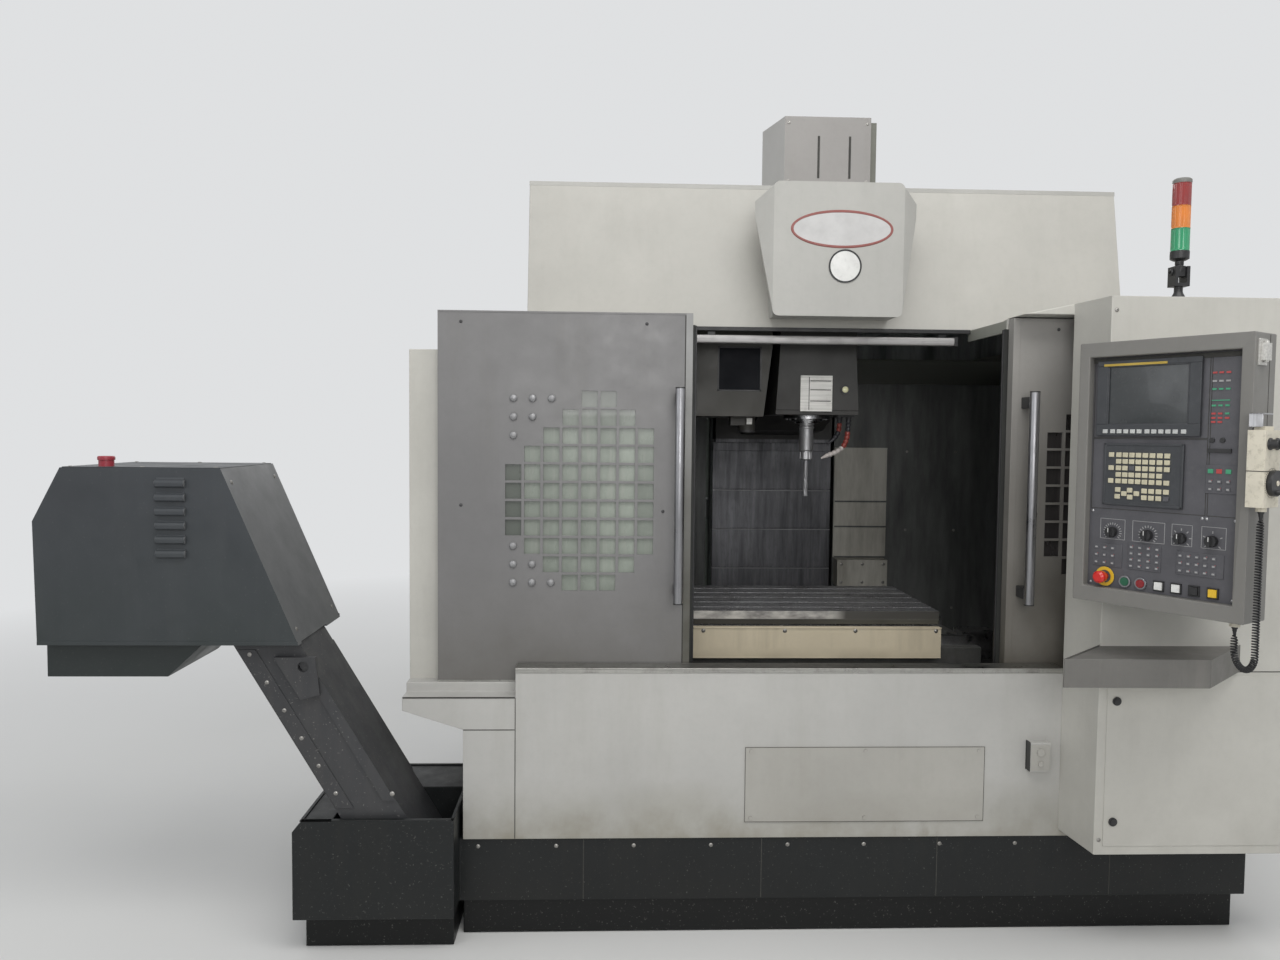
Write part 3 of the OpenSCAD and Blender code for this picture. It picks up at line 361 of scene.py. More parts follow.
def make_materials():
    # painted shade: the inner skins of the shell, the top cover and the skirt take dark stained
    # tones; the shell's top band and the cover's inside are given less dark
    paint("cream_shell", (0.50, 0.49, 0.45), 0.14, foot=(0.33, 0.6, 0.4, 0.4),
          inside=(0, 0.9, 1.2), inside_high=(0.25, 0.255, 0.225))
    paint("cream_top", (0.455, 0.445, 0.41), 0.10, inside=(0, 1.1, 1.9),
          inside_color=(0.22, 0.23, 0.23))
    paint("cream_skirt", (0.445, 0.44, 0.42), 0.12, (0.17, 0.15, 0.09), rough=0.4,
          foot=(0.33, 0.54, 0.8, 0.8), drip=(-0.42, 0.55, 0.32, 0.44, 0.6), inside=(0, 0.0, 0.6))
    paint("cream_panel", (0.39, 0.38, 0.35), 0.16, (0.17, 0.15, 0.10), foot=(0.38, 0.5, 0.4, 0.4))
    paint("cream_cabinet", (0.52, 0.51, 0.47), 0.12, foot=(0.35, 0.7, 0.3, 0.3))
    paint("cream_parts", (0.43, 0.425, 0.40), 0.10)
    # painted light: the cover's faces that look left or right take a lighter tone than its front
    paint("cream_motor_cover", (0.30, 0.288, 0.277), 0.10, dust_and_side_light=(0.47, 0.465, 0.45))
    # painted light: the apron's cream is given brighter than the housing's, for the light that
    # falls on it through the roof opening
    paint("cream_apron", (0.66, 0.58, 0.43), 0.3, (0.10, 0.08, 0.05), rough=0.45,
          foot=(0.83, 0.88, 0.5, 0.5))
    paint("grey_door", (0.180, 0.177, 0.177), 0.22, (0.095, 0.088, 0.072), 0.14,
          foot=(0.84, 1.25, 0.8, 0.6))
    # painted light and shade: the right leaf has its own copy of the door paint, given lighter than
    # the left leaf and darker and browner towards its foot, partly dirt and partly painted shade
    paint("grey_door_right", (0.31, 0.30, 0.285), 0.22, (0.085, 0.077, 0.062), 0.14,
          foot=(0.85, 2.1, 1.15, 0.35))
    paint("jamb_grey", (0.150, 0.152, 0.128), 0.4, (0.07, 0.065, 0.05), 0.16, 0.5,
          foot=(0.9, 1.6, 0.5, 0.5))
    paint("door_edge", (0.29, 0.29, 0.285), 0.3, (0.075, 0.072, 0.058), 0.14,
          foot=(1.2, 2.0, 1.15, 0.4))
    paint("jamb_dark", (0.028, 0.029, 0.027), 0.3, (0.05, 0.048, 0.04), 0.16, 0.5, 0.3)
    paint("grey_console", (0.185, 0.18, 0.168), 0.14, (0.11, 0.10, 0.09), rough=0.44)
    paint("tray_grey", (0.15, 0.145, 0.135), 0.3, (0.34, 0.32, 0.29), 0.18, 0.5)
    paint("tray_mat", (0.175, 0.168, 0.158), 0.3, (0.24, 0.23, 0.21), 0.2, 0.6, fleck=0.3)
    # painted light on the hood's faces that look sideways, and painted shade below its lower flange
    paint("hood_grey", (0.042, 0.047, 0.053), 0.35, (0.062, 0.066, 0.068), 0.2, fleck=0.07,
          foot=(1.0, 1.45, 1.0, 0.5), foot_color=(0.027, 0.034, 0.034),
          dust_and_side_light=(0.108, 0.111, 0.114), shade_below=(1.003, (0.017, 0.0225, 0.022)))
    paint("leg_grey", (0.038, 0.039, 0.042), 0.4, (0.085, 0.08, 0.075), 0.22, fleck=0.4)
    # painted shade: the plinth below the tank's front is given near black, for the shade under the
    # tank
    paint("tank_grey", (0.010, 0.0115, 0.012), 0.4, (0.022, 0.021, 0.018), 0.2, shine=0.32,
          fleck=0.2, foot=(0.11, 0.3, 0.3, 0.3), shade_below=(0.112, (0.003, 0.0035, 0.0035)))
    paint("magazine_grey", (0.066, 0.064, 0.056), 0.5, (0.04, 0.036, 0.032), 0.2, 0.44, 0.3,
          foot=(1.74, 1.86, 0.5, 0.5))
    inner_plates()
    # painted shade: the head's cream casting is given a near-black base
    head_paint((0.048, 0.047, 0.0445), (0.16, 0.16, 0.17))
    table_iron()
    cast("green_casting", (0.18, 0.21, 0.19))
    cast("saddle_casting", (0.085, 0.085, 0.08), grime=0.7)
    cast("black_iron", (0.05, 0.05, 0.052), 0.5)
    steel("steel_bright", (0.52, 0.52, 0.53), 0.3, 2, 0.35)
    steel("steel_rails", (0.46, 0.46, 0.46), 0.28, 1, 0.5)
    steel("steel_sill", (0.42, 0.415, 0.39), 0.34, 0, 0.6)
    steel("steel_handle", (0.32, 0.32, 0.335), 0.33, 2, 0.25, lines=420)
    steel("steel_holder", (0.50, 0.50, 0.51), 0.34, 2, 0.45, 0.62)
    steel("steel_mill", (0.34, 0.34, 0.35), 0.42, 2, 0.5, 0.5)
    steel("lamp_cover", (0.40, 0.39, 0.385), 0.42, 0, 0.25, 0.45)
    steel("steel_spindle", (0.42, 0.42, 0.43), 0.25, 2, 0.5)
    steel("steel_studs", (0.30, 0.30, 0.305), 0.42, 2, 0.3, 0.6, 120)
    steel("steel_screws", (0.36, 0.35, 0.33), 0.38, 0, 0.4, lines=120)
    steel("plate_aluminium", (0.62, 0.61, 0.58), 0.42, 0, 0.35, 0.35, 160)
    steel("plate_edges", (0.26, 0.26, 0.265), 0.4, 0, 0.5, 0.5, 160)
    pane("window_pane", (0.37, 0.41, 0.355), (0.25, 0.28, 0.24), (0.42, 0.42, 0.38))
    # painted shade: the right door's panes are a dark copy of the glazing, for the shade on that
    # door and the dark inside behind it
    pane("window_pane_right_shaded", (0.060, 0.054, 0.054), (0.036, 0.033, 0.033), (0.12, 0.11, 0.105))
    plastic("black_plastic", (0.018, 0.018, 0.019), 0.42, 0.2, (0.10, 0.10, 0.10))
    plastic("panel_plastic", (0.080, 0.079, 0.088), 0.5, 0.25, (0.15, 0.15, 0.15))
    plastic("unit_plastic", (0.040, 0.043, 0.048), 0.46, 0.2, (0.14, 0.14, 0.14))
    plastic("dark_window", (0.008, 0.009, 0.012), 0.55, 0.15, (0.02, 0.02, 0.02), shine=0.1)
    plastic("screen_glass", (0.030, 0.034, 0.036), 0.22, 0.35, (0.09, 0.095, 0.095), 0.3)
    plastic("cream_keys", (0.56, 0.52, 0.38), 0.5, 0.4, (0.20, 0.17, 0.12))
    plastic("grey_keys", (0.09, 0.09, 0.10), 0.5, 0.4, (0.18, 0.18, 0.18))
    plastic("soft_keys", (0.50, 0.51, 0.50), 0.5, 0.35, (0.25, 0.25, 0.24))
    plastic("yellow_strip", (0.46, 0.32, 0.05), 0.4, 0.3)
    plastic("grey_print", (0.34, 0.34, 0.34), 0.6, 0.3)
    plastic("red_lamps", (0.42, 0.05, 0.05), 0.35, 0.15)
    plastic("green_lamps", (0.05, 0.30, 0.16), 0.35, 0.15)
    plastic("red_plastic", (0.56, 0.018, 0.014), 0.28, 0.12, (0.25, 0.08, 0.06), 0.3)
    plastic("hood_button_red", (0.30, 0.03, 0.045), 0.4, 0.3, (0.25, 0.12, 0.12))
    plastic("yellow_plastic", (0.72, 0.46, 0.03), 0.32, 0.25, (0.3, 0.22, 0.1))
    plastic("white_plastic", (0.70, 0.70, 0.68), 0.35, 0.25)
    plastic("green_plastic", (0.012, 0.10, 0.05), 0.3, 0.1, coat=0.2)
    plastic("dark_red_plastic", (0.22, 0.012, 0.016), 0.3, 0.1, coat=0.2)
    plastic("pendant_cream", (0.62, 0.58, 0.48), 0.5, 0.65, (0.20, 0.17, 0.12))
    plastic("cord_rubber", (0.014, 0.014, 0.015), 0.48, 0.25, (0.08, 0.08, 0.08))
    for tone, color in (("red", (0.26, 0.020, 0.018)), ("orange", (0.66, 0.20, 0.02)),
                        ("green", (0.015, 0.28, 0.12))):
        plastic("lens_" + tone, color, 0.16, 0.05, coat=0.6, sub=0.2)
    plastic("badge_red", (0.26, 0.085, 0.075), 0.4, 0.35, (0.24, 0.17, 0.15))
    plastic("badge_field", (0.52, 0.515, 0.51), 0.4, 0.2, (0.40, 0.39, 0.38))
    plastic("hose_red", (0.23, 0.045, 0.035), 0.4, 0.55, (0.05, 0.04, 0.04))
    plastic("hose_dark", (0.03, 0.03, 0.035), 0.4, 0.3, (0.12, 0.12, 0.12))
    plastic("hose_pale", (0.46, 0.42, 0.40), 0.4, 0.5, (0.12, 0.10, 0.09))
    plastic("sight_glass", (0.74, 0.72, 0.45), 0.15, 0.1, coat=0.6)
    plastic("seam_shadow", (0.035, 0.034, 0.030), 0.7, 0.2)


# ---- mesh code
def soften(mesh, degrees):
    """Smooth faces, with edges sharper than this angle kept sharp."""
    bm = bmesh.new()
    bm.from_mesh(mesh)
    for face in bm.faces:
        face.smooth = True
    for edge in bm.edges:
        edge.smooth = len(edge.link_faces) == 2 and edge.calc_face_angle(0) < math.radians(degrees)
    bm.to_mesh(mesh)
    bm.free()


def add_bevel(obj, width, segments=2):
    bevel = obj.modifiers.new("edges", "BEVEL")
    bevel.width = width * MM
    bevel.segments = segments
    bevel.limit_method = "ANGLE"
    bevel.angle_limit = math.radians(38)
    bevel.harden_normals = False


def turns(n, count=None):
    """The cosine and sine of n equal parts of a turn, or of the first count of them."""
    return [(math.cos(FULL_TURN * k / n), math.sin(FULL_TURN * k / n)) for k in range(count or n)]


class Build:
    """Collects solids in one mesh. Points are in millimetres, in the frame given by at."""

    def __init__(self, at=Matrix.Identity(4)):
        self.bm = bmesh.new()
        self.at = at

    def box(self, a, b):
        """A box between two opposite corners."""
        middle = [(p + q) / 2 for p, q in zip(a, b)]
        size = [max(abs(q - p), 0.01) for p, q in zip(a, b)]
        place = self.at @ Matrix.Translation(middle) @ Matrix.Diagonal((*size, 1))
        bmesh.ops.create_cube(self.bm, size=1, matrix=place)
        return self

    def skin(self, loops, wrap=False, solid=True):
        """Faces from each loop of points to the next, and from the last to the first if it wraps.

        A solid has closed loops, and caps at both ends unless it wraps. The rest is an open sheet.
        """
        rings = [[self.bm.verts.new(self.at @ Vector(p)) for p in loop] for loop in loops]
        for a, b in zip(rings, rings[1:] + rings[:wrap]):
            n = max(len(a), len(b))
            for k in range(n if solid else n - 1):
                j = k + 1
                corners = a[k % len(a)], a[j % len(a)], b[j % len(b)], b[k % len(b)]
                self.bm.faces.new(list(dict.fromkeys(corners)))
        for ring in (rings[0], rings[-1]) if solid and not wrap else ():
            if len(ring) > 1:
                self.bm.faces.new(ring)
        return self

    def lathe(self, origin, axis, profile, n=24, wrap=False):
        """profile is a list of (distance along the axis, radius)."""
        turn = Vector(axis).to_track_quat("Z", "Y").to_matrix().to_4x4()
        place = Matrix.Translation(origin) @ turn
        loops = [[place @ Vector((r * c, r * s, h)) for c, s in turns(n, None if r else 1)]
                 for h, r in profile]
        return self.skin(loops, wrap)

    def rod(self, origin, axis, r, h, n=24):
        e = min(r, h) * 0.12
        return self.lathe(origin, axis, [(0, r), (h - e, r), (h, r - e)], n)

    def dome(self, origin, axis, r, h, n=16):
        profile = [(0, r), (h * 0.45, r * 0.92), (h * 0.8, r * 0.62), (h, 0)]
        return self.lathe(origin, axis, profile, n)

    def ring(self, origin, axis, r0, r1, h, n=48):
        """A flat ring from r0 to r1, standing h proud."""
        return self.lathe(origin, axis, [(0, r0), (h, r0), (h, r1), (0, r1)], n, wrap=True)

    def frame(self, x0, x1, z0, z1, wide, y0, y1):
        """Four bars just inside a rectangle, between the depths y0 and y1."""
        for a, b, c, d in ((x0, x1, z0, z0 + wide), (x0, x1, z1 - wide, z1),
                           (x0, x0 + wide, z0, z1), (x1 - wide, x1, z0, z1)):
            self.box((a, y0, c), (b, y1, d))
        return self

    def prism(self, points, shift):
        """A closed outline of 3-D points, pushed along shift."""
        return self.skin([points, [Vector(p) + Vector(shift) for p in points]])

    def beam(self, section, x0, x1):
        """An outline of (y, z) points, drawn out from x0 to x1."""
        return self.prism([(x0, y, z) for y, z in section], (x1 - x0, 0, 0))

    def screws(self, spots, axis=FRONT, r=5.0, h=2.6):
        """Round heads with a washer edge and a socket."""
        profile = [(0, r * 1.15), (0.6, r * 1.15), (0.7, r), (h * 0.7, r * 0.86), (h, r * 0.5),
                   (h, r * 0.36), (h * 0.5, r * 0.34)]
        for spot in spots:
            self.lathe(spot, axis, profile, 14)
        return self

    def make(self, name, material, node, bevel=0.0, replaces=False, smooth=35, segments=2):
        """Ends the mesh as one piece that rides with a CAD node, or takes its place."""
        bmesh.ops.recalc_face_normals(self.bm, faces=self.bm.faces)
        mesh = bpy.data.meshes.new(name)
        self.bm.to_mesh(mesh)
        self.bm.free()
        mesh.transform(Matrix.Diagonal((MM, MM, MM, 1)))
        soften(mesh, smooth)
        mesh.materials.append(MATERIALS[material])
        obj = add_object(name, mesh)
        if bevel:
            add_bevel(obj, bevel, segments)
        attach(obj, BODY_OF[node])
        if replaces:
            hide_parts(node)


# ---- dressing the CAD nodes
DRESSING = (    # material, width of the rounded edges, CAD nodes
    ("cream_shell", 2, "enclosure_shell"), ("cream_top", 2.5, "top_cover"),
    ("cream_motor_cover", 2.5, "motor_cover"), ("cream_parts", 1.5, "front_box"),
    ("cream_skirt", 2, "front_skirt"), ("cream_panel", 0.8, "access_panel"),
    ("cream_cabinet", 2.5, "operator_cabinet"), ("cream_apron", 1.2, "table_apron"),
    ("cream_cabinet", 2, "electrical_cabinet electrical_door"),
    ("grey_door", 1.6, "left_door"), ("grey_door_right", 1.6, "right_door"),
    ("window_pane", 0, "left_window"), ("window_pane_right_shaded", 0, "right_window"),
    ("grey_console", 3, "console_box"), ("panel_plastic", 0.5, "console_panel"),
    ("steel_handle", 1.2, "left_handle right_handle"), ("steel_sill", 1, "sill_rail"),
    ("lamp_cover", 1, "lamp_tube"), ("tank_grey", 3, "coolant_tank"),
    ("leg_grey", 2, "conveyor_leg"), ("hood_grey", 2.2, "conveyor_hood"),
    ("black_iron", 2, "conveyor_motor levelling_feet"), ("steel_bright", 0.6, "conveyor_drum"),
    ("green_casting", 5, "base_casting column"), ("saddle_casting", 3, "saddle"),
    ("steel_rails", 1, "y_drive z_drive x_drive"), ("table_iron", 0.8, "table"),
    ("inner_plates", 0.8, "way_covers"), ("magazine_grey", 2, "magazine_cover"),
    ("steel_bright", 1, "tool_carousel"), ("steel_spindle", 1, "spindle"),
    ("head_paint", 3, "spindle_head"), ("black_plastic", 4, "spindle_motor"),
    ("steel_holder", 0.8, "tool_holder"), ("pendant_cream", 2.5, "pendant"),
    ("red_plastic", 1, "emergency_stop"), ("red_plastic", 1.2, "main_switch"),
    ("green_plastic", 1, "green_button"), ("dark_red_plastic", 1, "red_button"),
    ("white_plastic", 0.8, "square_button_1 square_button_2"),
    ("black_plastic", 0.8, "square_button_3"), ("yellow_plastic", 0.8, "square_button_4"),
    ("black_plastic", 1, "knob_1 knob_2 knob_3 knob_4"),
    ("black_plastic", 1.2, "pendant_dial"), ("black_plastic", 1.5, "tower_elbow"),
)


def dress_nodes():
    """Gives CAD nodes their material, and rounds their edges without touching their mesh."""
    for material, width, names in DRESSING:
        for name in names.split():
            obj = frame["nodes"][name]
            obj.data.materials.clear()
            obj.data.materials.append(MATERIALS[material])
            if width:
                obj.modifiers.new("weld", "WELD").merge_threshold = 0.00001
                add_bevel(obj, width)


# ---- the curly cord
CONSOLE = Matrix.Translation((610, -332, 0)) @ Matrix.Rotation(-math.radians(58.1), 4, "Z")
CORD_A, CORD_B = (516, 5, 1494), (440, 60, 1170)    # its two ends, in the console's frame
CORD_BEND = 1110                                    # height where its lower bend begins
CORD_STEP = 2.0
BEND_STEPS = 90
WIRE, COIL, PITCH, LEAD = 4.4, 7.2, 7.4, 38.0
COIL_STEPS = 14


def cord_spine():
    """The points of the pendant cord's middle line, as in the CAD source, close together."""
    a, b = Vector(CORD_A[:2]), Vector(CORD_B[:2])
    drop = CORD_A[2] - CORD_BEND
    points = [Vector((*a, CORD_A[2] - k * CORD_STEP)) for k in range(int(drop / CORD_STEP))]
    for k in range(BEND_STEPS + 1):
        t = math.pi * k / BEND_STEPS
        q = a + (b - a) / 2 * (1 - math.cos(t))
        points.append(Vector((*q, CORD_BEND - (b - a).length / 2 * math.sin(t))))
    return points + [Vector((*b, CORD_BEND + k * CORD_STEP)) for k in range(1, 31)]


def coil_points(spine):
    """A coil round the middle line that grows from nothing at each end, in metres."""
    marks = [0.0]
    for p, q in zip(spine, spine[1:]):
        marks.append(marks[-1] + (q - p).length)
    total = marks[-1]
    u = Vector((spine[0] - spine[-1]).xy.orthogonal().normalized().to_3d())
    count = int((total - 2 * LEAD) / PITCH * COIL_STEPS) + 60
    points, i = [], 0
    for k in range(count + 1):
        s = total * k / count
        while i < len(marks) - 2 and marks[i + 1] < s:
            i += 1
        p = spine[i].lerp(spine[i + 1], (s - marks[i]) / (marks[i + 1] - marks[i]))
        v = (spine[min(i + 2, len(spine) - 1)] - spine[max(i - 1, 0)]).cross(u).normalized()
        grow = min(1.0, max(0.0, (min(s, total - s) - 12) / (LEAD - 12)))
        grow = grow * grow * (3 - 2 * grow)
        angle = FULL_TURN * s / PITCH
        p += (u * math.cos(angle) + v * math.sin(angle)) * COIL * grow
        points.append(CONSOLE @ p * MM)
    return points


def make_cord():
    points = coil_points(cord_spine())
    curve = bpy.data.curves.new("pendant_curl", "CURVE")
    curve.dimensions = "3D"
    curve.bevel_depth = WIRE / 2 * MM
    curve.bevel_resolution = 2
    curve.use_fill_caps = True
    spline = curve.splines.new("POLY")
    spline.points.add(len(points) - 1)
    for q, p in zip(spline.points, points):
        q.co = (*p, 1)
    curve.materials.append(MATERIALS["cord_rubber"])
    obj = add_object("pendant_curl", curve)
    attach(obj, "frame")
    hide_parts("pendant_cord")
    relief = [(-2, 8), (4, 8), (8, 5.6), (12, 5.6), (15, 4.4), (18, 4.2), (24, 3)]
    for name, end in (("pendant_relief", CORD_A), ("console_relief", CORD_B)):
        Build(CONSOLE).lathe(end, DOWN, relief, 20).make(name, "black_plastic", "pendant_cord")


# ---- outer housing
ROOF, COVER_TOP = 2083, 2632            # heights of the roof and of the cover's top sheet
COVER_X, WALL_X, LOW_WALL_X = 1130, 1498.4, 1299
SIDES = (-1, 1)


def cover_front(z):
    """Depth of the cover's sloped front at a height."""
    return 378 + 100 * (z - ROOF) / (COVER_TOP - ROOF)


def housing():
    low, high = cover_front(2618), cover_front(2634)
    lip = Build()
    for x0, x1 in ((-1131, -183), (207, 1131)):
        lip.beam([(low - 0.5, 2618), (high - 2.5, 2634.5), (high + 16, 2634.5),
                  (high + 16, 2632.3), (low + 1, 2618)], x0, x1)
    lip.make("cover_lip", "cream_parts", "top_cover", 0.6)

    cover_seams = Build()
    cover_seams.box((-1120, 1000, COVER_TOP), (1120, 1003, COVER_TOP + 0.6))
    flange = Build().box((-1142, 362, ROOF), (-497, 380, 2086))
    flange.box((545, 362, ROOF), (1142, 380, 2086))
    bolts, seams, fast, grips = Build(), Build(), Build(), Build()
    rows = (90, 600, 680, 1190, 1270, 1795)
    for s in SIDES:
        aside = (s, 0, 0)
        for y in (900, 1400):
            cover_seams.box((s * 1130, y, 2090), (s * 1131.2, y + 3, 2626))
        bolts.screws([(s * COVER_X, y, z) for y in (520, 880, 1420, 1780) for z in (2120, 2590)],
                     aside, 6)
        flange.box((s * COVER_X, 362, ROOF), (s * 1148, 1826, 2086))
        for y in (60, 640, 1230, 1822):
            seams.box((s * 1498.2, y, 770), (s * 1499.4, y + 3, 1950))
            seams.box((s * 1299, y, 340), (s * 1300.2, y + 3, 755))
        seams.box((s * 1498.2, 60, 1940), (s * 1499.4, 1825, 1943))
        fast.screws([(s * WALL_X, y, z) for y in rows for z in (800, 1350, 1915)], aside, 6.5, 1.6)
        fast.screws([(s * LOW_WALL_X, y, z) for y in rows for z in (360, 730)], aside, 6.5)
        for y in (300, 900, 1500):
            grips.box((s * 1496, y, 1560), (s * 1499.2, y + 120, 1596))
    bolts.screws([(x, 1826, z) for x in (-1060, -700, 700, 1060) for z in (2120, 2590)], REAR, 6)
    for x in (-900, -320, 340, 1400):
        seams.box((x, 1838, 780), (x + 3, 1838.8, 2070))
    fast.screws([(x, 1838, z) for x in (-1380, -940, -860, -360) for z in (820, 1400, 2030)],
                REAR, 6.5)
    cover_seams.make("cover_seams", "seam_shadow", "top_cover")
    bolts.make("cover_screws", "steel_screws", "top_cover")
    flange.make("cover_flange", "cream_parts", "top_cover", 0.6)
    seams.make("wall_seams", "seam_shadow", "enclosure_shell")
    fast.make("wall_screws", "steel_screws", "enclosure_shell")
    grips.make("side_grips", "black_plastic", "enclosure_shell", 1.5)

    # angle along the roof's edge, left and right of the opening
    edge = Build()
    for s in SIDES:
        edge.box((s * 541, 44, ROOF), (s * 1395, 74, 2085.5))
        edge.box((s * 541, 43.4, 2066), (s * 1395, 46, 2085.5))
    edge.make("roof_edge", "cream_parts", "enclosure_shell", 0.6)


def front_box_details():
    y = 240.6
    cx, cz, a, b, wide = 11, 2424, 187, 69, 12
    n = 96
    loops = [[(cx + (a - wide + out) * c, y - h + 0.8, cz + (b - wide + out) * s)
              for c, s in turns(n)]
             for out, h in ((wide, 0), (wide * 0.75, 2.6), (wide * 0.25, 2.6), (0, 0))]
    Build().skin(loops, wrap=True).make("badge_ring", "badge_red", "front_box")
    flat = (Matrix.Translation((0, 0, cz)) @ Matrix.Diagonal((1, 1, 0.333, 1))
            @ Matrix.Translation((0, 0, -cz)))
    field = Build(flat).lathe((cx, y + 0.3, cz), FRONT, [(0, 177), (1, 177)], n)
    field.make("badge_field", "badge_field", "front_box")
    disc = (24, y + 0.4, 2292)
    Build().lathe(disc, FRONT, [(0, 55), (1.6, 55), (2, 53), (2, 0)], 64).make(
        "round_disc", "white_plastic", "front_box")
    Build().ring(disc, FRONT, 54, 60, 2.6, 64).make("round_ring", "black_plastic", "front_box")


def motor_cover_details():
    slots = Build()
    for x in (-23, 98):
        slots.box((x - 4, 498.9, 2672), (x + 4, 501.5, 2832))
    slots.make("motor_cover_slots", "seam_shadow", "motor_cover")
    # a flange behind the cover's right edge, given dark grey as painted shade
    Build().box((184, 520, 2640), (206, 523, 2892)).make(
        "motor_cover_shaded_flange", "jamb_grey", "motor_cover")
    Build().screws([(x, 500, z) for x in (-140, 164) for z in (2660, 2880)], r=6).make(
        "motor_cover_screws", "steel_screws", "motor_cover")


def skirt_details():
    spots = [(x, -83.2, z) for x in (-340, 46, 432) for z in (397, 624)]
    Build().screws(spots, r=6).make("access_screws", "steel_screws", "access_panel")
    (x0, _, z0), (x1, _, z1) = [[v / MM for v in corner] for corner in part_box("access_panel")]
    Build().frame(x0, x1, z0, z1, 1.2, -83.9, -82.6).make(
        "access_rim", "seam_shadow", "access_panel")
    lines = Build().box((-1298, -80.7, 696), (-1129, -79.6, 699))
    lines.box((-1128.5, -80.7, 330), (-1126, -79.6, 806))
    lines.box((-1497, -81, 803), (-1128, -79.6, 808))
    lines.make("skirt_seams", "seam_shadow", "front_skirt")
    bracket = Build().box((598, -112.5, 566), (662, -110, 652))
    bracket.rod((630, -112, 628), FRONT, 13, 8).rod((630, -112, 588), FRONT, 9, 8)
    bracket.make("skirt_bracket_plate", "cream_panel", "front_skirt", 1)

    Build().box((-1312.5, -71, 322), (1380, -69.2, 327.4)).make(
        "tank_flange", "tank_grey", "coolant_tank", 0.5)
    joints = Build()
    for x in (-900, -300, 300, 900):
        joints.box((x, -70.8, 118), (x + 3, -69.6, 322))
    joints.make("tank_seams", "seam_shadow", "coolant_tank")
    heads = Build()
    for y, axis in ((-70, FRONT), (140, REAR)):
        heads.screws([(x, y, 300) for x in range(-1250, 1380, 260)], axis, 6)
    heads.make("tank_screws", "steel_screws", "coolant_tank")


# ---- doors
STUDS = {0: 3, 1: 2, 2: 1, 8: 1, 9: 2, 10: 3}       # row of the pierced field: studs beside it
HANDLE_X = 591


def doors():
    for s, side, leaf in ((-1, "left", "grey_door"), (1, "right", "grey_door_right")):
        door, handle = side + "_door", side + "_handle"
        Build().box((s * 546, -1.2, 2079), (s * 1394, 0.6, 2084.5)).make(
            door + "_hem", leaf, door, 0.5)
        Build().box((s * 545, -1.4, 846), (s * 568, 0.6, 2084)).make(
            door + "_edge", "door_edge" if s < 0 else leaf, door, 0.5)
        if s < 0:
            Build().box((-571.5, -0.5, 848), (-568, 0.6, 2078)).make(
                "left_door_groove", "seam_shadow", door)
        spots = [(s * x, 0, z) for x, z in ((1318, 1437), (1318, 2048), (640, 1420), (700, 2048))]
        Build().screws(spots).make(door + "_screws", "black_iron", door)
        studs = Build()
        for row, count in STUDS.items():
            for col in range(count):
                studs.dome((s * (1143.5 - col * 63.5), 0.2, 1796.3 - row * 62), FRONT, 13.6, 9, 24)
        studs.make(door + "_studs", "steel_studs", door, smooth=60)
        rails = Build()
        for z in (2050, 852):
            rails.box((s * 553, 40, z), (s * 1387, 43.5, z + 28))
        rails.make(door + "_rear_rails", "jamb_dark", door, 0.8)
        # square posts that hold the handle tube, and its end caps
        x = s * HANDLE_X
        posts, caps = Build(), Build()
        for z in (1154, 1798):
            posts.box((x - 13, -61, z - 19), (x + 13, 0, z + 19))
        posts.make(handle + "_posts", "black_plastic", handle, 2)
        for z in (1117.5, 1831):
            caps.rod((x, -75, z), UP, 16.4, 4)
        caps.make(handle + "_caps", "black_plastic", handle)
        # jamb strip of the opening, with its rubber edge
        Build().box((s * 556, 45, 852), (s * 533, 56, 2052)).make(
            side + "_jamb_strip", "jamb_dark", "enclosure_shell", 1)
        Build().box((s * 533.5, 46, 856), (s * 527, 55, 2050)).make(
            side + "_jamb_seal", "cord_rubber", "enclosure_shell", 1.5)


# ---- inside the machine
SPINDLE_Y = 740


def magazine():
    Build().box((-389, 561.5, 1858), (-227, 563, 2022)).make(
        "magazine_window", "dark_window", "magazine_cover")
    Build().frame(-395, -221, 1852, 2028, 6, 558.6, 561).make(
        "magazine_window_frame", "black_plastic", "magazine_cover", 0.5)
    Build().screws([(x, 560, 2270) for x in (-640, -440, -235)], r=6).make(
        "magazine_screws", "steel_screws", "magazine_cover")
    pot = Build().ring((-260, 670, 1690), UP, 21, 33.6, 10, 32).rod((-260, 670, 1700), UP, 21, 6)
    pot.make("magazine_pot_rim", "black_iron", "magazine_cover", 0.6)
    Build().box((-266, 634, 1722), (-244, 640.3, 1748)).make(
        "magazine_pot_tag", "plate_aluminium", "magazine_cover", 0.6)


def head():
    # bare nameplate with its lines, sight glass and nose ring
    Build().box((-69, 538.2, 1775), (58, 540.4, 1916)).make(
        "head_plate", "plate_aluminium", "spindle_head", 0.8)
    marks = Build().box((-36, 537.8, 1781), (-33, 538.4, 1910))
    for z in (1893, 1858, 1814):
        marks.box((-30, 537.8, z), (52, 538.4, z + 3.5))
    marks.make("head_plate_lines", "seam_shadow", "spindle_head")
    eye = (109, 540.6, 1862)
    Build().ring(eye, FRONT, 13, 19, 7, 32).make("sight_ring", "black_plastic", "spindle_head")
    Build().dome(eye, FRONT, 13.5, 7, 24).make("sight_glass", "sight_glass", "spindle_head")
    nose = Build().ring((0, SPINDLE_Y, 1762.5), DOWN, 65.6, 96, 15, 64)
    nose.screws([(82 * c, SPINDLE_Y + 82 * s, 1748) for c, s in turns(8)], DOWN, 6, 5)
    nose.make("nose_ring", "steel_spindle", "spindle_head", 1)


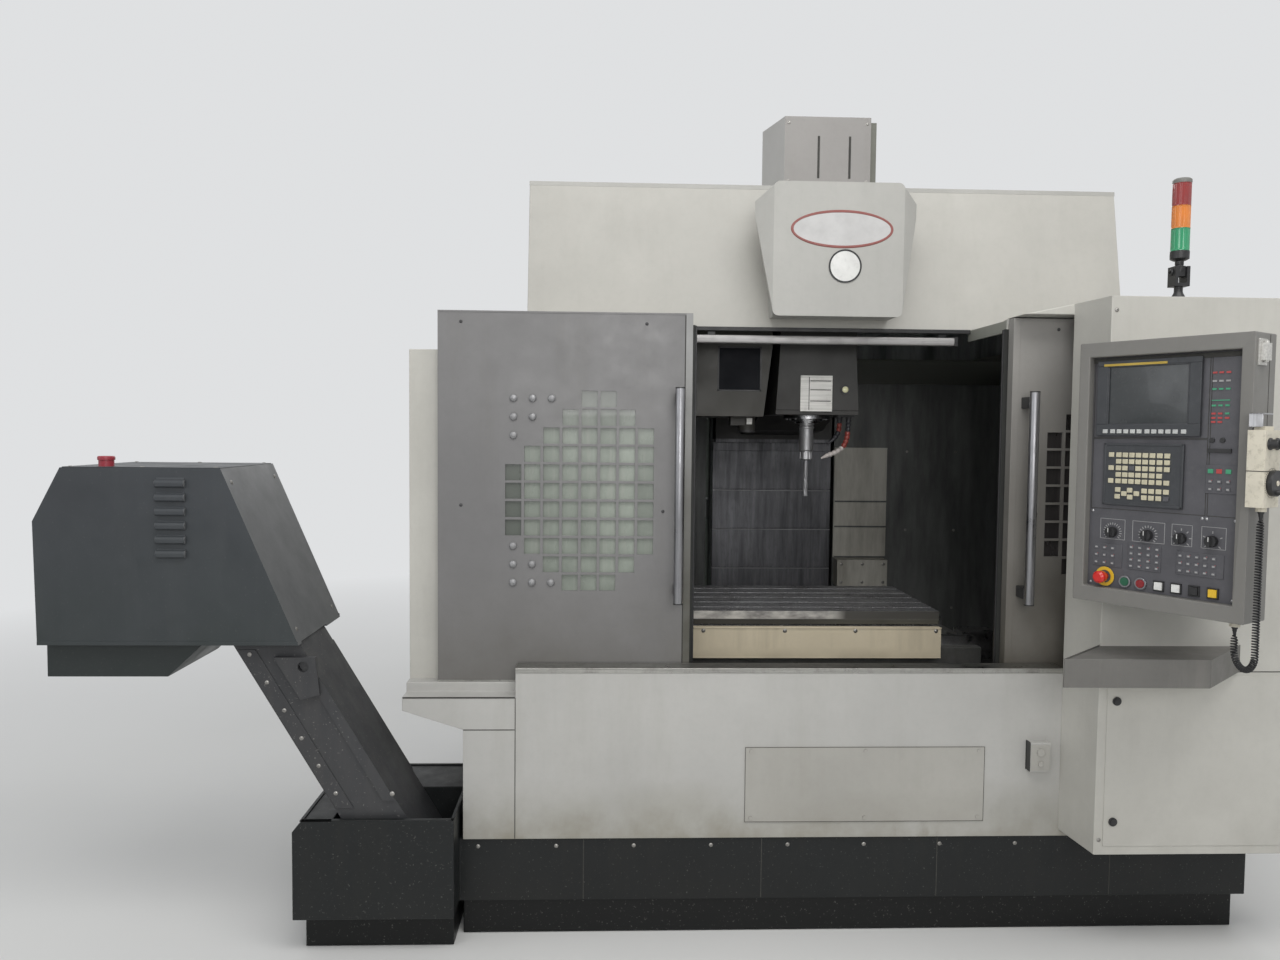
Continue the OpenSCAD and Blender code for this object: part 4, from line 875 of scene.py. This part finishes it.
def tool():
    # gripper groove, collet nut with its slots, and an end mill with four twisted flutes
    holder = Build().lathe((0, SPINDLE_Y, 1730), DOWN, [
        (0, 31.6), (7, 31.6), (9, 27.6), (12, 27.6), (14, 31.6), (20.5, 31.6), (21.5, 29.1),
        (111, 29.1), (115, 26), (115, 23.2), (148, 23.2), (152.2, 19), (152.2, 10)], 64)
    for c, s in turns(6):
        x, y = c * 22, SPINDLE_Y + s * 22
        holder.box((x - 3, y - 3, 1582), (x + 3, y + 3, 1610))
    holder.make("holder_body", "steel_holder", "tool_holder", 0.5)
    n, steps, shank = 24, 40, 12
    loops = []
    for i in range(steps + 1):
        up = max(0, i - shank)
        twist, deep = up / (steps - shank) * math.pi * 1.1, 2.4 * min(1, up / 3)
        loop = []
        for k, (c, s) in enumerate(turns(n)):
            flute = max(0.0, math.cos(4 * (FULL_TURN * k / n - twist))) ** 1.5
            r = 10 - deep * flute
            loop.append((r * c, SPINDLE_Y + r * s, 1578 - 151 * i / steps))
        loops.append(loop)
    Build().skin(loops).make("end_mill", "steel_mill", "tool_holder", replaces=True)


def hose(name, start, bends, colors, replaces=False):
    """A hose of links, each turned by some degrees in the x-z plane, with a nozzle."""
    link = [(-1, 7.5), (3, 10.5), (9, 11), (13, 9), (17, 7.4), (19, 7.4)]
    nozzle = [(-1, 7.5), (4, 9), (8, 8), (26, 4.2), (30, 4), (30, 2.4), (22, 2.4)]
    p, d = Vector(start), Vector(DOWN)
    parts = [Build() for _ in colors]
    for i, angle in enumerate(bends):
        parts[i * len(parts) // len(bends)].lathe(p, d, link, 18)
        p = p + d * 17
        d = Matrix.Rotation(math.radians(angle), 3, "Y") @ d
    parts[-1].lathe(p, d, nozzle, 18)
    for i, (part, color) in enumerate(zip(parts, colors), 1):
        part.make(f"{name}_{i}", "hose_" + color, "coolant_nozzle", replaces=replaces and i == 1)


def hoses():
    hose("hose_a", (145, 620, 1764), (1, 1, 2, 2, 4, 10, 14, 14, 12, 8, 2, -4),
         ("dark", "red", "pale"), replaces=True)
    hose("hose_b", (118, 662, 1764), (-3, 4, 10, 14, 14, 10), ("dark", "red", "dark"))
    valve = Build().box((96, 598, 1755), (163, 688, 1763.5))
    for x, y in ((145, 620), (118, 662)):
        valve.lathe((x, y, 1760), DOWN, [(0, 13), (10, 13), (12, 10), (16, 10)], 6)
    valve.make("hose_manifold", "black_iron", "coolant_nozzle", 1)


def plates_and_lamp():
    folds, covers = Build(), Build().box((326, 1584, 1060), (331, 1590, 1618))
    for z in (1010, 1206, 1402):
        folds.box((-298, 1543.6, z - 4), (298, 1546, z))
    folds.make("guard_folds", "plate_edges", "spindle_head", 0.5)
    for z in (1212, 1340, 1618):
        covers.box((330, 1587.6, z - 6), (597, 1590, z))
    covers.make("cover_folds", "inner_plates", "way_covers", 0.5)
    bolts = Build().screws([(x, 1500, z) for x in (350, 456, 562) for z in (945, 1036)], r=7)
    bolts.screws([(x, 1596, z) for x in (-1250, -900, -420, 700, 950, 1250)
                  for z in (800, 1200, 1600)], r=6)
    bolts.make("cover_bolts", "steel_screws", "way_covers")
    Build().screws([(x, 352, 940) for x in (-735, -460, -150, 120, 430)], r=7).make(
        "apron_screws", "steel_screws", "table_apron")
    fold = Build().box((-750, 349.6, 948), (450, 353, 953.6))
    fold.box((-750, 350.4, 835), (450, 353, 839)).make(
        "apron_fold", "cream_apron", "table_apron", 0.6)

    # long lamp: a rounded cover on dark clips, below the rubber edge of the cover's front
    section = [(398 + math.copysign(abs(c) ** 0.35, c) * 15,
                2040 + math.copysign(abs(s) ** 0.35, s) * 15.5) for c, s in turns(20)]
    Build().beam(section, -496, 484).make("lamp_cover", "lamp_cover", "lamp_tube", 1.5, True)
    clips = Build().box((483, 381, 2022), (496, 415, 2058))
    for x in (-440, 440):
        clips.box((x - 15, 378, 2077), (x + 15, 412, ROOF))
        clips.box((x - 15, 395, 2054), (x + 15, 401, 2079))
    clips.make("lamp_clips", "black_plastic", "lamp_tube", 1)
    Build().box((-540, 372, 2069), (540, 378.5, 2084)).make(
        "cover_edge_rubber", "cord_rubber", "top_cover", 1.5)


# ---- conveyor
HOOD_FRONT, HOOD_REAR, HOOD_TOP = -200, 270, 1561
HOOD_SLOPE = Vector((555, 0, 236)).normalized()
LEG_SLOPE = 1.68


def conveyor_hood():
    flange = Build()
    for y in (HOOD_FRONT - 1.6, HOOD_REAR - 0.2):
        flange.box((-2600, y, 1006), (-1797, y + 1.8, 1018))
    flange.make("hood_flange", "hood_grey", "conveyor_hood", 0.6)
    Build().box((-2518, HOOD_FRONT + 8, HOOD_TOP), (-2034, HOOD_REAR - 8, 1563.4)).make(
        "hood_lid", "hood_grey", "conveyor_hood", 0.8)
    heads = Build().screws([(x, y, 1563.2) for x in (-2500, -2280, -2054)
                            for y in (HOOD_FRONT + 24, HOOD_REAR - 24)], UP, 7)
    heads.screws([(-2031 + 236 * t, y, HOOD_TOP - 555 * t) for t in (0.08, 0.92)
                  for y in (HOOD_FRONT + 40, HOOD_REAR - 40)], HOOD_SLOPE, 7)
    heads.make("hood_screws", "steel_screws", "conveyor_hood")
    latch = Build().box((-2604, -60, 1420), (-2574, -20, 1446))
    latch.rod((-2582, -40, 1470), (-0.6, 0, 0.8), 9, 14)
    latch.make("hood_latch", "black_iron", "conveyor_hood", 1)
    mushroom = [(0, 22.5), (22, 22.5), (23, 25.5), (31, 25.5), (34.5, 23), (35.2, 0)]
    Build().lathe((-2408, HOOD_FRONT + 60, HOOD_TOP), UP, mushroom, 32).make(
        "hood_button", "hood_button_red", "conveyor_hood")
    lips = Build()
    for i in range(6):
        arc = [math.pi * k / 8 for k in range(9)]
        lips.beam([(HOOD_FRONT - 0.4 - 13.6 * math.sin(a) ** 0.8,
                    1500 - i * 44 + 13.5 * (1 - math.cos(a))) for a in arc], -2230, -2138)
    lips.make("hood_louvres", "hood_grey", "conveyor_hood", 2.5, segments=3)


def conveyor_leg():
    def at(z, off):
        return -1465 - (z - 437) / LEG_SLOPE - off

    sides = Build()
    for y in (-168, 105):
        sides.prism([(at(z, off), y, z) for z, off in
                     ((470, 205), (470, 150), (985, 150), (985, 205))], (0, 3, 0))
    sides.make("leg_side_plates", "leg_grey", "conveyor_leg", 0.8)
    bolts = Build().screws([(at(480, 20), -174, 520), (at(900, 20), -174, 900)], r=7)
    for y, axis in ((-168, FRONT), (108, REAR)):
        bolts.screws([(at(z, 177), y, z) for z in range(520, 980, 90)], axis, 6)
    bolts.make("leg_screws", "steel_screws", "conveyor_leg")
    fins = Build()
    for k in range(9):
        fins.ring((-2340 - k * 14, 385, 1350), LEFT, 49, 56, 4, 40)
    fins.make("conveyor_motor_fins", "black_iron", "conveyor_motor")
    rim = Build()
    for x0, x1, y0, y1 in ((-1797, -1700, -192, -180), (-1797, -1312, 320, 332),
                           (-1800, -1790, -192, 330), (-1322, -1312, -192, 330),
                           (-1797, -1312, -192, -178)):
        rim.box((x0, y0, 437), (x1, y1, 441))
    rim.make("tank_rim", "tank_grey", "coolant_tank", 0.8)


# ---- operator cabinet
def cabinet():
    y = -278
    seams = Build().box((736, y - 0.6, 942), (1497, y + 0.4, 945))
    seams.box((1472, y - 0.6, 356), (1474, y + 0.4, 2120))
    seams.make("cabinet_seams", "seam_shadow", "operator_cabinet")
    spots = [(1485, y, z) for z in (400, 900, 1500, 2080)] + [(748, y, z) for z in (400, 900, 2080)]
    heads = Build().screws(spots, r=6)
    heads.screws([(WALL_X, depth, z) for depth in (-110, -250) for z in (400, 1240, 2080)],
                 RIGHT, 6, 1.6)
    heads.make("cabinet_screws", "steel_screws", "operator_cabinet")
    Build().box((760, y - 2.5, 380), (1440, y + 0.2, 930)).make(
        "cabinet_service_door", "cream_cabinet", "operator_cabinet", 1)
    locks = Build()
    for z in (460, 850):
        locks.rod((790, y - 2.4, z), FRONT, 14, 4).rod((790, y - 6, z), FRONT, 9, 3)
    locks.make("cabinet_locks", "black_plastic", "operator_cabinet")

    # tray: grey front and sides, and a dark mat
    outline = ((1183.8, -277.5), (960.3, -476), (524.2, -466), (731, -277))
    sides = Build()
    for p, q in zip(outline, outline[1:]):
        ahead = (Vector(q) - Vector(p)).normalized() * 2
        sides.prism([(*p, 944), (*q, 944), (*q, 1030), (*p, 1030)], (-ahead.y, ahead.x, 0))
    sides.make("tray_sides", "tray_grey", "operator_cabinet", 0.8)
    mat = ((733.77, -279.44), (1178.005, -279.44), (958.35, -473.485), (529.875, -463.635))
    Build().prism([(*p, 1024) for p in mat], (0, 0, 2.4)).make(
        "tray_mat", "tray_mat", "operator_cabinet", 0.8)
    Build(CONSOLE).box((20, 120, 1250), (468, 124, 1900)).make(
        "console_back_plate", "grey_console", "console_box", 1)


def tower():
    pivot = Matrix.Translation((1018, -150, 2220))
    profile = ((0, 26), (0, 28), (2, 28), (3, 27.5), (69, 27.5), (70, 28), (71.6, 28), (71.6, 26))
    for tone, foot in (("green", 68), ("orange", 140), ("red", 212)):
        loops = []
        for h, r in profile:
            rib = 0.6 if r == 27.5 else 0
            loops.append([((r - k % 2 * rib) * c, (r - k % 2 * rib) * s, foot + h)
                          for k, (c, s) in enumerate(turns(72))])
        Build(pivot).skin(loops).make("tower_lens_" + tone, "lens_" + tone, "signal_tower",
                                      smooth=20)
    centre = (0, 0, 0)
    base = Build(pivot).lathe(centre, UP, [(22, 12), (24, 13), (36, 13), (38, 20), (43, 28.6),
                                           (66, 28.8), (68, 27)], 48)
    base.lathe(centre, UP, [(-14, 8), (-8, 13), (6, 15.5), (18, 14), (26, 10)], 32)
    base.box((-13.4, -14, -14), (13.4, 14, 20)).lathe(centre, RIGHT, [(-30, 5), (30, 5)], 20)
    for s in SIDES:
        base.lathe((s * 24.4, 0, 0), (s, 0, 0), [(0, 12), (3, 12), (5.6, 9)], 6)
    base.make("tower_base", "black_plastic", "signal_tower", 0.6, True)
    cap = [(0, 28), (4, 28.9), (11, 28.4), (15, 24), (16, 17), (16, 0)]
    Build(pivot).lathe((0, 0, 284), UP, cap, 48).make("tower_cap", "grey_console", "signal_tower")
    foot = Build(pivot).lathe((0, 0, -96), UP, [(0, 42), (5, 42), (8, 36), (14, 22), (30, 14),
                                                (34, 13)], 40)
    foot.screws([(36 * math.cos(a), 36 * math.sin(a), -91) for a in (0.8, 2.4, 3.9, 5.5)], UP, 4)
    foot.make("tower_foot", "black_plastic", "tower_elbow")


# ---- console
PANEL_Y = 25                    # depth of the panel's face in the console's frame
KNOB_Z = 1402
KNOB_X = (106, 212, 306, 390)
KEY_COLUMNS = (100.5, 123, 142.5, 162, 181.5, 201.5, 222, 243, 264)
KEY_ROWS = ((1633.5, range(9)), (1614, range(1, 9)), (1594.5, range(9)), (1575, range(1, 8)),
            (1556, range(9)), (1530, (1, 5, 6, 7, 8)), (1510.5, range(5, 9)))
ODD_KEYS = [(159, 1530), (122, 1510), (142, 1519), (160, 1510), (179, 1521)]


def display():
    bezel = Build(CONSOLE).box((50, 13, 1690), (350, 25, 1724)).box((50, 13, 1896), (350, 25, 1912))
    bezel.box((50, 13, 1724), (82, 25, 1896)).box((318, 13, 1724), (350, 25, 1896))
    bezel.frame(80, 320, 1720, 1898, 6, 14.5, 22)
    bezel.make("display_bezel", "unit_plastic", "display_unit", 1.2, True)
    n = 10
    arch = [1 - (2 * k / n - 1) ** 2 for k in range(n + 1)]
    sheet = [[(84 + 232 * i / n, 19.5 - 2.6 * arch[i] * arch[j], 1724 + 172 * j / n)
              for i in range(n + 1)] for j in range(n + 1)]
    Build(CONSOLE).skin(sheet, solid=False).make("display_screen", "screen_glass", "display_unit")
    Build(CONSOLE).box((70, 11.8, 1896), (256, 13.4, 1903)).make(
        "display_strip", "yellow_strip", "display_unit", 0.4)
    keys = Build(CONSOLE)
    for x in (80, 103, 123, 143, 163, 182.5, 205.5, 225, 245, 265, 285, 308):
        keys.box((x - 7, 9.6, 1697), (x + 7, 13.4, 1709))
    keys.make("display_soft_keys", "soft_keys", "display_unit", 1)


def key_unit():
    base = Build(CONSOLE).box((76, 17, 1484), (308, PANEL_Y, 1668))
    base.frame(76, 308, 1484, 1668, 7, 15.5, 18)
    base.make("key_base", "unit_plastic", "key_unit", 1.4, True)
    pale, grey = Build(CONSOLE), Build(CONSOLE)
    rng = random.Random(7)
    for x, z in [(KEY_COLUMNS[i], z) for z, columns in KEY_ROWS for i in columns] + ODD_KEYS:
        caps = pale if rng.random() < 0.95 else grey
        caps.box((x - 8, 12.8, z - 7), (x + 8, 17, z + 7))
    pale.make("key_caps", "cream_keys", "key_unit", 1.3)
    grey.make("key_caps_grey", "grey_keys", "key_unit", 1.3)


def panel_fields():
    fields = Build(CONSOLE).box((33, 22, 1907), (455, 25.2, 1920))
    for x0, x1, z0, z1 in ((36, 368, 1684, 1921), (372, 452, 1470, 1921), (36, 368, 1470, 1682)):
        fields.frame(x0, x1, z0, z1, 1.6, 24.2, 25.2)
    fields.make("panel_fields", "seam_shadow", "console_panel")
    pads = Build(CONSOLE)
    for x0, x1, z0, z1 in ((48, 138, 1297, 1366), (156, 252, 1297, 1374), (296, 422, 1300, 1366),
                           (366, 450, 1534, 1612)):
        pads.box((x0, 22.5, z0), (x1, 25.2, z1))
    pads.make("pad_plates", "panel_plastic", "console_panel", 0.6)
    spots = [(x, PANEL_Y, z) for x in (42, 446) for z in (1244, 1462, 1914)]
    spots += [(360, PANEL_Y, 1462), (372, PANEL_Y, 1462)]
    Build(CONSOLE).screws(spots, r=3.5, h=1.8).make("panel_screws", "steel_bright", "console_panel")


def panel_keys():
    red, green, pale, black, grey = (Build(CONSOLE) for _ in range(5))
    # right strip: lamps, two round sockets, a slot and small keys
    for z, row in ((1865, (red,) * 3), (1842, (pale,) * 3), (1820, (green,) * 3),
                   (1775, (green,) * 3), (1753, (red, red, green)), (1741, (red,) * 3),
                   (1730, (red, red))):
        for x, lamp in zip((380, 397, 415), row):
            lamp.box((x - 5.5, 22.6, z - 2.5), (x + 5.5, 25, z + 2.5))
    green.box((374, 23, 1788), (421, 25, 1790.5))
    black.box((370, 20, 1646), (430, 25, 1657))
    for x in (379, 406):
        black.rod((x, PANEL_Y, 1680), FRONT, 7, 4)
    for x, key in ((379, green), (401, red), (425, green)):
        key.box((x - 7, 20.8, 1589), (x + 7, 23, 1601))
    # pads of square keys, each with a pale field, and every other one with a red lamp
    for x0, z0, columns, rows, dx, dz in (
            (60, 1308, 3, 3, 25, 22.7), (166.5, 1307.5, 4, 4, 25, 18.4),
            (306.8, 1311.4, 5, 3, 22.4, 21), (379, 1546, 3, 2, 23, 21)):
        for i, j in [(i, j) for i in range(columns) for j in range(rows)]:
            x, z = x0 + i * dx, z0 + j * dz
            grey.box((x - 6.5, 20.6, z - 5.5), (x + 6.5, 22.8, z + 5.5))
            pale.box((x - 3.5, 20.2, z - 2.5), (x + 3.5, 20.8, z + 2.1))
            if (i + j) % 2:
                red.box((x + 3.5, 20.2, z + 2.5), (x + 5.5, 20.8, z + 4.3))
    black.make("strip_slot", "black_plastic", "console_panel", 1)
    grey.make("membrane_keys", "grey_keys", "console_panel", 0.7)
    red.make("strip_red", "red_lamps", "console_panel")
    green.make("strip_green", "green_lamps", "console_panel")
    pale.make("strip_pale", "grey_print", "console_panel")


def knobs_and_bezels():
    marks = Build(CONSOLE)
    for x, (left, right, n) in zip(KNOB_X, ((38, 38, 17), (46, 48, 15), (27, 30, 7), (30, 35, 5))):
        marks.frame(x - left, x + right, 1380, 1441, 1.3, 24.4, 25.1)
        for i in range(n):
            a = math.radians(-130 + 260 * i / (n - 1))
            s, c = math.sin(a), math.cos(a)
            marks.prism([(x + s * r + c * t, 24.7, KNOB_Z + c * r - s * t)
                         for r, t in ((21, -1.2), (28, -1.2), (28, 1.2), (21, 1.2))], (0, -0.5, 0))
    marks.make("dial_marks", "grey_print", "console_panel")
    for k, x in enumerate(KNOB_X, 1):
        knob = f"knob_{k}"
        Build(CONSOLE).box((x - 0.9, -1.6, KNOB_Z), (x + 0.9, -0.8, KNOB_Z + 13)).make(
            knob + "_line", "white_plastic", knob)
        grip = Build(CONSOLE)
        for c, s in turns(20):
            gx, gz = x + 14.6 * c, KNOB_Z + 14.6 * s
            grip.box((gx - 1.1, 8, gz - 1.1), (gx + 1.1, 24.4, gz + 1.1))
        grip.make(knob + "_grip", "black_plastic", knob, 0.3)
    Build(CONSOLE).ring((88, 22.4, 1266), FRONT, 19, 29, 1.6).make(
        "stop_ring", "yellow_plastic", "console_panel", 0.4)
    bezels, squares = Build(CONSOLE), Build(CONSOLE)
    for x in (150, 197):
        bezels.ring((x, 23.2, 1258), FRONT, 12.6, 17.4, 4.4, 32)
    bezels.make("button_bezels", "steel_handle", "console_panel", 0.6)
    for x in (249, 298, 347, 397):
        squares.frame(x - 15, x + 15, 1243, 1273, 3.4, 20.6, PANEL_Y)
    squares.make("square_bezels", "black_plastic", "console_panel", 0.6)


def console_box():
    latch = Build(CONSOLE).box((488, 16, 1880), (492, 62, 1950))
    latch.box((492, 24, 1892), (506, 54, 1938))
    latch.rod((499, 39, 1888), UP, 6, 56).make("console_latch", "plate_aluminium", "console_box", 1)
    seams = Build(CONSOLE)
    for x in (-0.6, 487.6):
        seams.box((x, 84, 1192), (x + 1, 86, 1964))
    seams.make("console_seams", "seam_shadow", "console_box")


def pendant():
    knobs, ticks, hook = Build(CONSOLE), Build(CONSOLE), Build(CONSOLE)
    for y in (-14, 26):
        knobs.lathe((538, y, 1672), RIGHT, [(0, 16), (4, 16), (5, 12.6), (22, 12.6), (24, 10)])
        knobs.box((560, y - 1.6, 1660), (566, y + 1.6, 1684))
    knobs.make("pendant_knobs", "black_plastic", "pendant", 0.8)
    Build(CONSOLE).box((493.4, -36.6, 1600), (538.6, 48.6, 1602)).make(
        "pendant_seam", "seam_shadow", "pendant")
    for k, (c, s) in enumerate(turns(40)):
        r0 = 37 if k % 5 else 35.5
        ticks.prism([(537.9, 6 + s * r + c * t, 1570 + c * r - s * t)
                     for r, t in ((r0, -0.5), (40, -0.5), (40, 0.5), (r0, 0.5))], (0.6, 0, 0))
    ticks.make("pendant_ticks", "seam_shadow", "pendant")
    hook.box((496, -38.6, 1716), (530, -34, 1752)).box((496, -38.6, 1748), (530, 20, 1752))
    hook.make("pendant_hook", "steel_bright", "pendant", 1)


# ---- rear
def rear():
    y = 2201
    door, louvres, latches, seams = "electrical_door", Build(), Build(), Build()
    for k in range(11):
        louvres.box((560, y - 0.5, 640 + k * 22), (800, y + 5, 652 + k * 22))
    louvres.make("rear_door_louvres", "cream_cabinet", door, 2)
    guard = Build().ring((1160, y - 0.5, 760), REAR, 70, 84, 8)
    centre = Vector((1160, y + 1, 760))
    for r in (18, 34, 50, 66):
        guard.ring(centre, REAR, r - 2, r + 2, 4, 40)
    for c, s in turns(8, 4):
        d, u = Vector((c, 0, s)) * 72, Vector((-s, 0, c)) * 2.4
        guard.prism([centre + v for v in (-d - u, d - u, d + u, u - d)], (0, 3.4, 0))
    guard.make("rear_fan_guard", "black_plastic", door, 0.5)
    for z in (880, 1480):
        latches.rod((1300, y - 0.5, z), REAR, 16, 6)
        latches.box((1294, y + 5, z - 34), (1306, y + 15, z + 34))
    latches.make("rear_door_latches", "black_plastic", door, 1.5)
    for z in (2000, 552):
        seams.box((448, y - 0.5, z), (1332, y + 0.5, z + 3))
    for x in (450, 1328):
        seams.box((x, y - 0.5, 552), (x + 3, y + 0.5, 2003))
    seams.make("rear_door_seams", "seam_shadow", door)
    Build().box((1170, y - 0.5, 1690), (1270, y + 0.8, 1790)).make(
        "switch_plate", "yellow_plastic", door, 0.5)

    # cable glands and a duct between the cabinet and the column, and nuts on the feet
    glands, nuts = Build(), Build()
    for depth in (1900, 1960, 2020, 2080):
        glands.lathe((440, depth, 700), LEFT, [(0, 20), (8, 20), (9, 15), (20, 15), (22, 12)], 6)
    glands.make("rear_glands", "black_plastic", "electrical_cabinet", 0.5)
    duct = Build().box((300, 1900, 1900), (440, 1980, 1980))
    for x0, x1 in ((296, 304), (434, 440)):
        duct.box((x0, 1892, 1892), (x1, 1988, 1988))
    duct.make("rear_duct", "cream_cabinet", "electrical_cabinet", 1)
    for x, depth in ((560, 320), (330, 900), (330, 1560), (560, 2080)):
        for s in SIDES:
            nuts.lathe((s * x, depth, 60), UP, [(0, 44), (22, 44), (24, 40)], 6)
    nuts.make("foot_nuts", "steel_bright", "levelling_feet", 1)


# ---- stage and light
BACKDROP = (0.74, 0.75, 0.76)
FLOOR_SIZE, FLOOR_Z = 30, -0.002
LIGHTS = (  # name, place, target, size, power, colour
    ("ceiling", (0.3, -2.6, 5.6), (0, 0.2, 1.2), (6, 2.2), 165, (1.0, 0.99, 0.97)),
    ("front_fill", (-0.4, -4.6, 2.5), (0, 0.4, 1.2), (2.4, 1.4), 55, (1.0, 0.99, 0.98)),
    ("left_fill", (-5.6, -2.2, 3.2), (-0.5, 0.3, 1.2), (3, 3), 35, (0.96, 0.98, 1.0)),
    ("rear_fill", (1.0, 6.0, 4.5), (0, 1.4, 1.2), (5, 3), 110, (1, 1, 1)),
)


def make_floor():
    """Pale matt floor that turns into the backdrop's own tone far from the machine."""
    s = Shader("floor_pale")
    wear = s.span(s.noise(1.5, detail=4), 0.3, 0.7)
    s.finish(s.mix(wear, (0.70, 0.70, 0.69), (0.69, 0.69, 0.68)), 0.6)
    away = s.node("VectorMath", s.place, operation="LENGTH").outputs["Value"]
    far = s.times(s.span(away, 3.6, 8.5), s.node("LightPath").outputs["Is Camera Ray"])
    glow = s.node("Emission", BACKDROP)
    blend = s.node("MixShader", far, s.bsdf.outputs[0], glow.outputs[0])
    s.put(s.out.inputs[0], blend.outputs[0])
    mesh = bpy.data.meshes.new("floor")
    corners = [(x * FLOOR_SIZE, y * FLOOR_SIZE, FLOOR_Z)
               for x, y in ((-1, -1), (1, -1), (1, 1), (-1, 1))]
    mesh.from_pydata(corners, [], [(0, 1, 2, 3)])
    mesh.materials.append(MATERIALS["floor_pale"])
    add_object("floor", mesh)


def make_world():
    """Soft light, with the plain backdrop for what the camera sees, mirrored or not."""
    world = bpy.data.worlds.new("soft")
    bpy.context.scene.world = world
    n = Nodes(world)
    ray = n.node("LightPath").outputs
    seen = n.most(n.most(ray["Is Camera Ray"], ray["Is Glossy Ray"]), ray["Is Transmission Ray"])
    light = n.node("Background", (0.96, 0.98, 1.0), 0.45)
    backdrop = n.node("Background", BACKDROP, 1.0)
    mix = n.node("MixShader", seen, light.outputs[0], backdrop.outputs[0])
    n.node("OutputWorld", mix.outputs[0])


def make_lights():
    for name, place, target, size, power, color in LIGHTS:
        light = bpy.data.lights.new(name, "AREA")
        light.shape = "RECTANGLE"
        light.size, light.size_y = size
        light.energy = power
        light.color = color
        obj = add_object(name, light)
        obj.location = place
        obj.rotation_euler = (Vector(target) - Vector(place)).to_track_quat("-Z", "Y").to_euler()


def main():
    make_camera()
    make_materials()
    dress_nodes()
    for build in (make_cord, housing, front_box_details, motor_cover_details, skirt_details, doors,
                  magazine, head, tool, hoses, plates_and_lamp, conveyor_hood, conveyor_leg,
                  cabinet, tower, display, key_unit, panel_fields, panel_keys,
                  knobs_and_bezels, console_box, pendant, rear, make_floor, make_world,
                  make_lights):
        build()
    bpy.context.scene.view_settings.view_transform = "Standard"


main()
